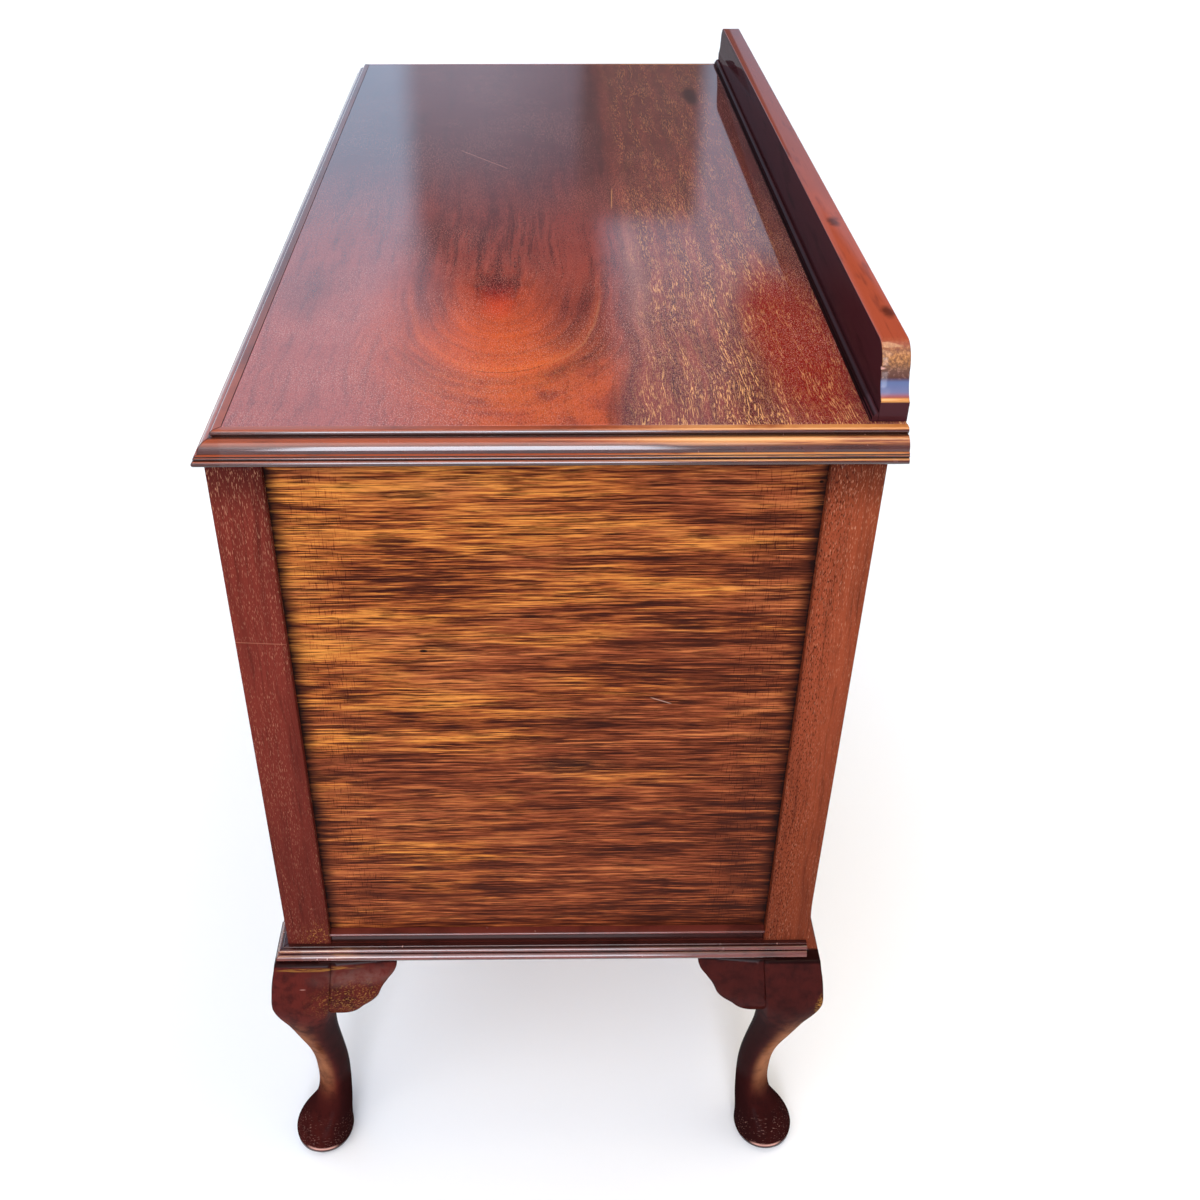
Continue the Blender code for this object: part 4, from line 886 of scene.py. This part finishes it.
def old_brass(c):
    """Cast brass, rubbed bright on the rounds and tarnished round the posts."""
    material, place, _ = start_material("Old cast brass")
    cloud = blotches(place, 0.011, 5.0)
    tone = paint(c.brass_bright, (c.brass_dull, cloud.step(0.42, 0.66)))
    polish(tone, cloud * 0.3 + 0.14, blotches(place, 0.0007, 2.0), 0.00003, metal=1.0)
    return material


MAKERS = {
    "top": french_polished_crotch_veneer,
    "moulding": rubbed_moulding,
    "gallery": gallery_polish,
    "leg": stained_leg,
    "panel": streaked_panel,
    "front_across": lambda c: grained_front(c, "Polished mahogany front, grain across", "X"),
    "front_upright": lambda c: grained_front(c, "Polished mahogany front, grain upright", "Z"),
    "door_frame": lambda c: grained_front(c, "Polished mahogany door frame", "ZX", door_joints),
    "carcase_across": lambda c: plain_carcase(c, "X", "Carcase wood, grain across"),
    "carcase_deep": lambda c: plain_carcase(c, "Y", "Carcase wood, grain from front to back"),
    "carcase_upright": lambda c: plain_carcase(c, "Z", "Carcase wood, grain upright"),
    "brass": old_brass,
}
made_materials = {}


def finish_of(context, name):
    """The material of a finish, made once."""
    if name not in made_materials:
        made_materials[name] = MAKERS[name](context.scene.sideboard_colours)
    return made_materials[name]


# Studio
def studio_dome(scene, studio):
    """A pale dome with a low bright window near the camera, and dark screens past the far end."""
    world = bpy.data.worlds.new("studio dome")
    world.use_nodes = True
    scene.world = world
    tree = world.node_tree
    tree.nodes.clear()
    x, y, z = parts_of(add(tree, "ShaderNodeTexCoord")[0])
    away = abs(x).math("MAXIMUM", 0.05)
    side, rise = y / away, z / away
    # Past the far end: bluish sky at both hands, a dim screen between, and a dark corner high on the right
    far = x.step(-0.3, -0.6)
    at_left = far * side.step(0.05, -0.05)
    at_right = far * side.step(-0.05, 0.05)
    softness = rise.step(0.34, 0.50) * 0.085 + 0.012
    left_edge = (side + 0.096) / softness
    right_edge = side - rise * 0.115 - 0.007
    screen = left_edge.step(-1.0, 1.0) * right_edge.step(0.012, -0.012) * far * rise.step(1.4, 0.9)
    dim = paint(linear("#a3aabc"), (linear("#34333c"), rise.step(0.24, 0.42)))
    low_screen = side.within(0.030, 0.122, 0.008) * rise.step(0.362, 0.345) * far * rise.step(-0.02, 0.02)
    corner = far * side.step(0.135, 0.190) * rise.step(0.36, 0.44)
    # The near side is dim too, but for a window low over the horizon in front of the right-hand end
    window = rise.within(0.06, 0.76, 0.05) * side.within(-0.21, 0.10, 0.025) * x.step(0.3, 0.5)
    tone = paint(
        linear("#f2f6ff"),
        (linear("#c2e1ff"), at_left),
        (linear("#d0e2ff"), at_right),
        (dim, screen),
        (linear("#747578"), low_screen),
        (linear("#55555c"), at_right * rise.step(0.37, 0.47) * 0.55),
        (linear("#202024"), corner * 0.90),
        (linear("#9a9ca4"), x.step(0.45, 0.70)))
    glow = at_left * 0.67 + window * studio.window + 1.0
    tone = add(tree, "ShaderNodeVectorMath", {0: tone, "Scale": glow}, operation="SCALE")[0]
    shine = add(tree, "ShaderNodeBackground", {"Color": tone, "Strength": studio.sky})[0]
    add(tree, "ShaderNodeOutputWorld", {"Surface": shine})


def add_light(name, kind, energy, place, target, **settings):
    """Stand a light at a place, facing a target."""
    data = bpy.data.lights.new(name, kind)
    data.energy = energy
    for setting, value in settings.items():
        setattr(data, setting, value)
    light = bpy.data.objects.new(name, data)
    light.location = place
    light.rotation_euler = (Vector(target) - Vector(place)).to_track_quat("-Z", "Y").to_euler()
    light.visible_camera = kind == "SUN"
    bpy.context.collection.objects.link(light)


def add_camera(scene, studio):
    """The photograph's view: place, tilt, lens and the small sideways shift of its framing."""
    pitch, yaw, roll = (radians(a) for a in (studio.camera_pitch, studio.camera_yaw, studio.camera_roll))
    forward = Vector((-cos(pitch) * cos(yaw), cos(pitch) * sin(yaw), -sin(pitch)))
    right = forward.cross(Vector((0.0, 0.0, 1.0))).normalized()
    up = right.cross(forward)
    right, up = right * cos(roll) + up * sin(roll), up * cos(roll) - right * sin(roll)
    data = bpy.data.cameras.new("view")
    data.sensor_width = 36.0
    data.lens = studio.camera_lens
    data.shift_x = studio.camera_shift
    data.clip_start = 0.01
    camera = bpy.data.objects.new("view", data)
    camera.matrix_world = (Matrix.Translation((studio.camera_x, studio.camera_y, studio.camera_z))
                           @ Matrix((right, up, -forward)).transposed().to_4x4())
    bpy.context.collection.objects.link(camera)
    scene.camera = camera


class SIDEBOARD_OT_stage(Operator):
    """Lay the pale floor and set the studio's light and camera"""
    bl_idname = "sideboard.stage"
    bl_label = "Stage"

    def execute(self, context):
        scene = context.scene
        studio = scene.sideboard_studio
        builder = bmesh.new()
        bmesh.ops.create_grid(builder, x_segments=1, y_segments=1, size=studio.floor_reach)
        mesh = bpy.data.meshes.new("floor")
        builder.to_mesh(mesh)
        builder.free()
        floor = bpy.data.objects.new("floor", mesh)
        scene.collection.objects.link(floor)
        material, place, _ = start_material("White studio paper")
        tooth = add(place.tree, "ShaderNodeTexNoise", {"Vector": place, "Scale": 900.0})[0]
        polish(scene.sideboard_colours.paper, 0.9, tooth, 0.00005, specular=0.1)
        mesh.materials.append(material)
        studio_dome(scene, studio)
        add_light("soft_key", "SUN", studio.key, place=(2.2, -0.9, 3.2), target=(0.0, 0.0, 0.4),
                  angle=radians(50))
        add_light("warm_box", "AREA", studio.glint, place=(0.25, 0.50, 3.0), target=(0.5, 0.1, 0.8),
                  shape="RECTANGLE", size=1.0, size_y=0.8, color=linear("#ffe9b8")[:3])
        add_camera(scene, studio)
        scene.view_settings.view_transform = "Standard"
        return {"FINISHED"}


# Sections
def draw_edge(builder, s):
    """Section of the top's edge, from its foot: bead, small bead, ledge, ovolo and lip."""
    out = EDGE_HIGH[0] - EDGE_LOW[0]
    top = EDGE_HIGH[2] - EDGE_LOW[2]
    bead_x = out - s.edge_bead
    small_x = out - s.edge_small_in - s.edge_small_bead
    small_z = 2 * s.edge_bead + s.quirk + s.edge_small_bead
    small_foot = small_z - s.edge_small_bead
    ledge_z = small_z + s.edge_small_bead + s.quirk
    ovolo_x = small_x - s.edge_ledge
    ovolo_z = ledge_z + 2 * s.quirk
    lip_x = ovolo_x - s.edge_ovolo - s.edge_lip
    lip_z = top - s.edge_lip
    pen = Pen(builder)
    pen.lines((bead_x, 0.0))
    pen.arc(bead_x, s.edge_bead, 190, 14)
    pen.lines((bead_x - 2 * s.quirk, 2 * s.edge_bead - s.quirk / 2), (small_x - 2 * s.quirk, small_foot),
              (small_x, small_foot))
    pen.arc(small_x, small_z, 170, 8)
    pen.lines((small_x - 3 * s.quirk, ledge_z - s.quirk / 2), (small_x - 3 * s.quirk, ledge_z),
              (small_x, ledge_z), (small_x, ledge_z + s.quirk), (ovolo_x, ovolo_z))
    pen.arc(ovolo_x - s.edge_ovolo, ovolo_z, 88, 14)
    pen.lines((lip_x + s.edge_lip * 0.5, ovolo_z + s.edge_ovolo - s.quirk),
              (lip_x + s.edge_lip * 0.5, lip_z - s.edge_lip * 0.85),
              (lip_x + s.edge_lip * 0.64, lip_z - s.edge_lip * 0.77))
    pen.arc(lip_x, lip_z, 140, 10)
    pen.lines((0.0, top))
    return pen.close()


def draw_base(builder, s):
    """Section of the base moulding, from its foot: two beads under a fillet."""
    top = BASE_HIGH[2] - BASE_LOW[2]
    lower_x = BASE_HIGH[0] - BASE_LOW[0] - s.base_bead
    upper_x = lower_x - 2 * s.quirk
    lower_top = 2 * s.base_bead
    upper_z = lower_top + s.quirk + s.base_upper_bead
    upper_top = upper_z + s.base_upper_bead
    pen = Pen(builder)
    pen.lines((lower_x, 0.0))
    pen.arc(lower_x, s.base_bead, 180, 14)
    pen.lines((lower_x - 3 * s.quirk, lower_top), (lower_x - 3 * s.quirk, lower_top + s.quirk),
              (upper_x, upper_z - s.base_upper_bead))
    pen.arc(upper_x, upper_z, 180, 10)
    pen.lines((s.base_fillet - s.quirk, upper_top), (s.base_fillet, upper_top + s.quirk),
              (s.base_fillet, top - s.quirk), (s.base_fillet - s.quirk, top), (0.0, top))
    return pen.close()


def draw_rail(builder, s):
    """Section of a bottom rail with its back at X 0: a plain board, a recess and a nosed ledge."""
    thick = RAIL_HIGH[0] - RAIL_LOW[0]
    high = RAIL_HIGH[2] - RAIL_LOW[2]
    base = BASE_HIGH[2] - RAIL_LOW[2]
    neck = thick - s.rail_step
    nose_x = thick - s.rail_nose
    nose_z = high - s.quirk / 2 - s.rail_nose
    pen = Pen(builder)
    pen.lines((thick, 0.0), (thick, base - GAP), (neck, base + GAP), (neck, nose_z - s.rail_nose),
              (nose_x, nose_z - s.rail_nose))
    pen.arc(nose_x, nose_z, 170, 10)
    pen.lines((thick - s.rail_ledge, high), (0.0, high))
    return pen.close()


def draw_gallery_bead(builder, s):
    """Section of the strip under the gallery, outward from the gallery's face."""
    wide = BEAD_HIGH[1] - BEAD_LOW[1]
    high = BEAD_HIGH[2] - BEAD_LOW[2]
    ring = wide * 0.62
    step = (wide - ring) / 2
    pen = Pen(builder)
    pen.lines((wide, 0.0), (wide, step * 1.3), (wide - step, step * 1.3), (wide - step, high - ring),
              (ring, high - ring))
    pen.arc(0.0, high - ring, 90, 10)
    return pen.close()


def panel_bead(low, high, face_y, radius, steps=6):
    """A quarter round inside a door's opening: its back on the panel's face, its side to the frame."""
    builder = bmesh.new()
    corners = [(low[0], low[2]), (high[0], low[2]), (high[0], high[2]), (low[0], high[2])]
    verts = [builder.verts.new((x, face_y, z)) for x, z in corners]
    face = bmesh.ops.contextual_create(builder, geom=verts)["faces"][0]
    turns = [radians(90 * i / steps) for i in range(steps + 1)]
    bends = [(radius * (sin(b) - sin(a)), radius * (cos(b) - cos(a))) for a, b in zip(turns, turns[1:])]
    for inward, forward in [(0.0, radius)] + bends:
        bmesh.ops.inset_region(builder, faces=[face], thickness=inward, use_boundary=True,
                               use_even_offset=True)
        bmesh.ops.translate(builder, vec=(0.0, -forward, 0.0), verts=face.verts)
    bmesh.ops.delete(builder, geom=[face], context="FACES_ONLY")
    bmesh.ops.bridge_loops(builder, edges=[e for e in builder.edges if e.is_boundary])
    return builder


# Pieces
class SIDEBOARD_OT_top(Operator):
    """Polish the top board and run its moulded edge round three sides"""
    bl_idname = "sideboard.top"
    bl_label = "Top and its edge"

    def execute(self, context):
        dress(finish_of(context, "top"), "top_board")
        foot = EDGE_LOW[2]
        for side, sign in SIDES.items():
            run_moulding(context, "top_moulding_" + side, draw_edge, (TOP_LOW[1], TOP_HIGH[1]), (True, False),
                         EDGE_LOW[0], foot, sign)
        run_moulding(context, "top_moulding_front", draw_edge, (-TOP_HIGH[0], TOP_HIGH[0]), (True, True),
                     -TOP_LOW[1] + GAP, foot)
        return {"FINISHED"}


class SIDEBOARD_OT_gallery(Operator):
    """Shape the gallery board with its moulded ends, and the strip along its foot"""
    bl_idname = "sideboard.gallery"
    bl_label = "Gallery"

    def execute(self, context):
        s = context.scene.sideboard_sizes
        half, foot = GALLERY_HIGH[0], GALLERY_LOW[2]
        high = GALLERY_HIGH[2] - foot
        # The hollow starts at a ledge, on this slope, and the shoulder stands back from the foot
        ledge, slope, shoulder_in = 0.0012, radians(55), 0.012
        hollow_x = half - ledge + s.gallery_hollow * cos(slope)
        hollow_z = s.gallery_foot + GAP + s.gallery_hollow * sin(slope)
        shoulder_z = high - s.gallery_round
        shoulder_x = half - (shoulder_in + s.gallery_round)
        builder = bmesh.new()
        pen = Pen(builder)
        pen.lines((half, 0.0), (half, s.gallery_foot), (half - ledge, s.gallery_foot + GAP))
        pen.arc(hollow_x, hollow_z, -43, 10)
        pen.lines((shoulder_x + s.gallery_round, shoulder_z))
        pen.arc(shoulder_x, shoulder_z, 90, 14)
        pen.lines((0.0, high))
        extrude(builder, pen.close(), GALLERY_LOW[1], GALLERY_HIGH[1])
        bmesh.ops.translate(builder, vec=(0.0, 0.0, foot), verts=builder.verts)
        middle = [f for f in builder.faces if all(abs(v.co.x) < GAP for v in f.verts)]
        bmesh.ops.delete(builder, geom=middle, context="FACES")
        bmesh.ops.mirror(builder, geom=everything(builder), axis="X", merge_dist=GAP / 10)
        bmesh.ops.recalc_face_normals(builder, faces=builder.faces)
        faces_y = (GALLERY_LOW[1], GALLERY_HIGH[1])
        rims = [e for e in builder.edges
                if e.calc_face_angle(0.0) > radians(60) and min(v.co.z for v in e.verts) > foot + GAP
                and any(all(abs(v.co.y - y) < GAP for v in e.verts) for y in faces_y)]
        bmesh.ops.bevel(builder, geom=rims, offset=s.arris, offset_type="OFFSET", segments=3, profile=0.5,
                        affect="EDGES", material=-1)
        make_piece("gallery_shaped", builder, finish_of(context, "gallery"), "case",
                   ["gallery_board"])
        run_moulding(context, "gallery_bead", draw_gallery_bead, (-half, half), (False, False),
                     -BEAD_HIGH[1], BEAD_LOW[2], finish="gallery")
        return {"FINISHED"}


class SIDEBOARD_OT_base(Operator):
    """Run the base moulding and the nosed rails round the foot of the case"""
    bl_idname = "sideboard.base"
    bl_label = "Base mouldings and rails"

    def execute(self, context):
        for side, sign in SIDES.items():
            run_moulding(context, "base_moulding_" + side, draw_base, (-POST_Y, POST_Y), (True, False),
                         BASE_LOW[0], CASE_BOTTOM, sign)
            run_moulding(context, "end_rail_" + side, draw_rail, (RAIL_LOW[1], RAIL_HIGH[1]), (False, False),
                         RAIL_LOW[0], RAIL_LOW[2], sign)
        run_moulding(context, "base_moulding_front", draw_base, (-POST_X, POST_X), (True, True),
                     POST_Y + GAP, CASE_BOTTOM)
        low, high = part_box("front_bottom_rail")
        run_moulding(context, "front_bottom_rail", draw_rail, (low[0], high[0]), (False, False),
                     -high[1], low[2])
        return {"FINISHED"}


class SIDEBOARD_OT_legs(Operator):
    """Smooth the corner posts with their cabriole legs, and the ears beside the knees"""
    bl_idname = "sideboard.legs"
    bl_label = "Posts, legs and ears"

    def execute(self, context):
        for end in ENDS:
            for side in SIDES:
                node = "leg_post_%s_%s" % (end, side)
                builder = merged_copy(node)
                slice_level(builder, CASE_BOTTOM + 0.05, POST_TOP, step=0.03)
                swell(builder, GAP, CASE_BOTTOM - 0.05)
                spread_rim(builder, grow=1.02)
                crease_edges(builder, angle=35, crease=0.6, foot_crease=0.9)
                crease_edges(builder, angle=35, crease=1.0, above=CASE_BOTTOM - 0.060)
                make_piece(node + "_shaped", builder, finish_of(context, "leg"), "case", [node],
                           smooth=0, levels=2)
        ears = ["leg_ear_%s_%s_end" % (end, side) for end in ENDS for side in SIDES]
        ears += ["leg_ear_front_%s_front" % side for side in SIDES]
        for node in ears:
            round_node(context, node, "_shaped", "leg", "case", angle=35, crease=1.0)
        return {"FINISHED"}


class SIDEBOARD_OT_case(Operator):
    """Finish the end panels, rails, back and inner boards of the case"""
    bl_idname = "sideboard.case"
    bl_label = "Case"

    def execute(self, context):
        dress(finish_of(context, "panel"), "end_panel_left", "end_panel_right")
        dress(finish_of(context, "front_across"), "front_top_rail", "front_middle_rail")
        dress(finish_of(context, "front_upright"), "drawer_divider")
        dress(finish_of(context, "carcase_across"), "bottom_board", "dust_board")
        dress(finish_of(context, "carcase_upright"), "back_panel")
        return {"FINISHED"}


class SIDEBOARD_OT_drawers(Operator):
    """Polish the drawer fronts and finish the drawers' plain inner boards"""
    bl_idname = "sideboard.drawers"
    bl_label = "Drawers"

    def execute(self, context):
        for side in SIDES:
            name = "drawer_" + side
            dress(finish_of(context, "front_across"), name + "_front")
            dress(finish_of(context, "carcase_deep"), name + "_side_left", name + "_side_right")
            dress(finish_of(context, "carcase_across"), name + "_back", name + "_bottom")
        return {"FINISHED"}


class SIDEBOARD_OT_doors(Operator):
    """Polish the door frames and panels, and set a bead round each panel"""
    bl_idname = "sideboard.doors"
    bl_label = "Doors"

    def execute(self, context):
        material = finish_of(context, "front_upright")
        lap = Vector((PANEL_LAP, 0.0, PANEL_LAP))
        for side in SIDES:
            name = "door_" + side
            dress(finish_of(context, "door_frame"), name + "_frame")
            dress(material, name + "_panel")
            low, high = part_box(name + "_panel")
            builder = panel_bead(low + lap, high - lap, low[1] - GAP, context.scene.sideboard_sizes.door_bead)
            make_piece(name + "_bead", builder, material, name)
        return {"FINISHED"}


class SIDEBOARD_OT_brass(Operator):
    """Smooth the brass handles and hinges, and give them their metal"""
    bl_idname = "sideboard.brass"
    bl_label = "Handles and hinges"

    def execute(self, context):
        for kind in ("drawer", "door"):
            for side in SIDES:
                name = "%s_%s" % (kind, side)
                for part, body in (("_plate", name), ("_bail", name + "_bail")):
                    round_node(context, name + part, "_cast", "brass", body, angle=50, crease=0.45)
        for side in SIDES:
            for place in ("lower", "upper"):
                for leaf, body in (("post", "case"), ("door", "door_" + side)):
                    node = "hinge_%s_%s_%s_leaf" % (side, place, leaf)
                    round_node(context, node, "_cast", "brass", body, angle=35, crease=0.8)
        return {"FINISHED"}


OPERATORS = (SIDEBOARD_OT_stage, SIDEBOARD_OT_top, SIDEBOARD_OT_gallery, SIDEBOARD_OT_base,
             SIDEBOARD_OT_legs, SIDEBOARD_OT_case, SIDEBOARD_OT_drawers, SIDEBOARD_OT_doors,
             SIDEBOARD_OT_brass)
GROUPS = {"sideboard_sizes": SideboardSizes, "sideboard_colours": SideboardColours,
          "sideboard_studio": SideboardStudio}


class SIDEBOARD_PT_panel(Panel):
    """The sideboard's steps and settings in the sidebar"""
    bl_idname = "SIDEBOARD_PT_panel"
    bl_label = "Sideboard"
    bl_space_type = "VIEW_3D"
    bl_region_type = "UI"
    bl_category = "Sideboard"

    def draw(self, context):
        for step in OPERATORS:
            self.layout.operator(step.bl_idname)
        for group in GROUPS:
            column = self.layout.column(align=True)
            for name in GROUPS[group].__annotations__:
                column.prop(getattr(context.scene, group), name)


def register():
    for name, group in GROUPS.items():
        bpy.utils.register_class(group)
        setattr(bpy.types.Scene, name, PointerProperty(type=group))
    for step in OPERATORS + (SIDEBOARD_PT_panel,):
        bpy.utils.register_class(step)


def unregister():
    for step in reversed(OPERATORS + (SIDEBOARD_PT_panel,)):
        bpy.utils.unregister_class(step)
    for name, group in GROUPS.items():
        delattr(bpy.types.Scene, name)
        bpy.utils.unregister_class(group)


def main():
    register()
    for step in OPERATORS:
        group, name = step.bl_idname.split(".")
        getattr(getattr(bpy.ops, group), name)()


if __name__ == "__main__":
    main()
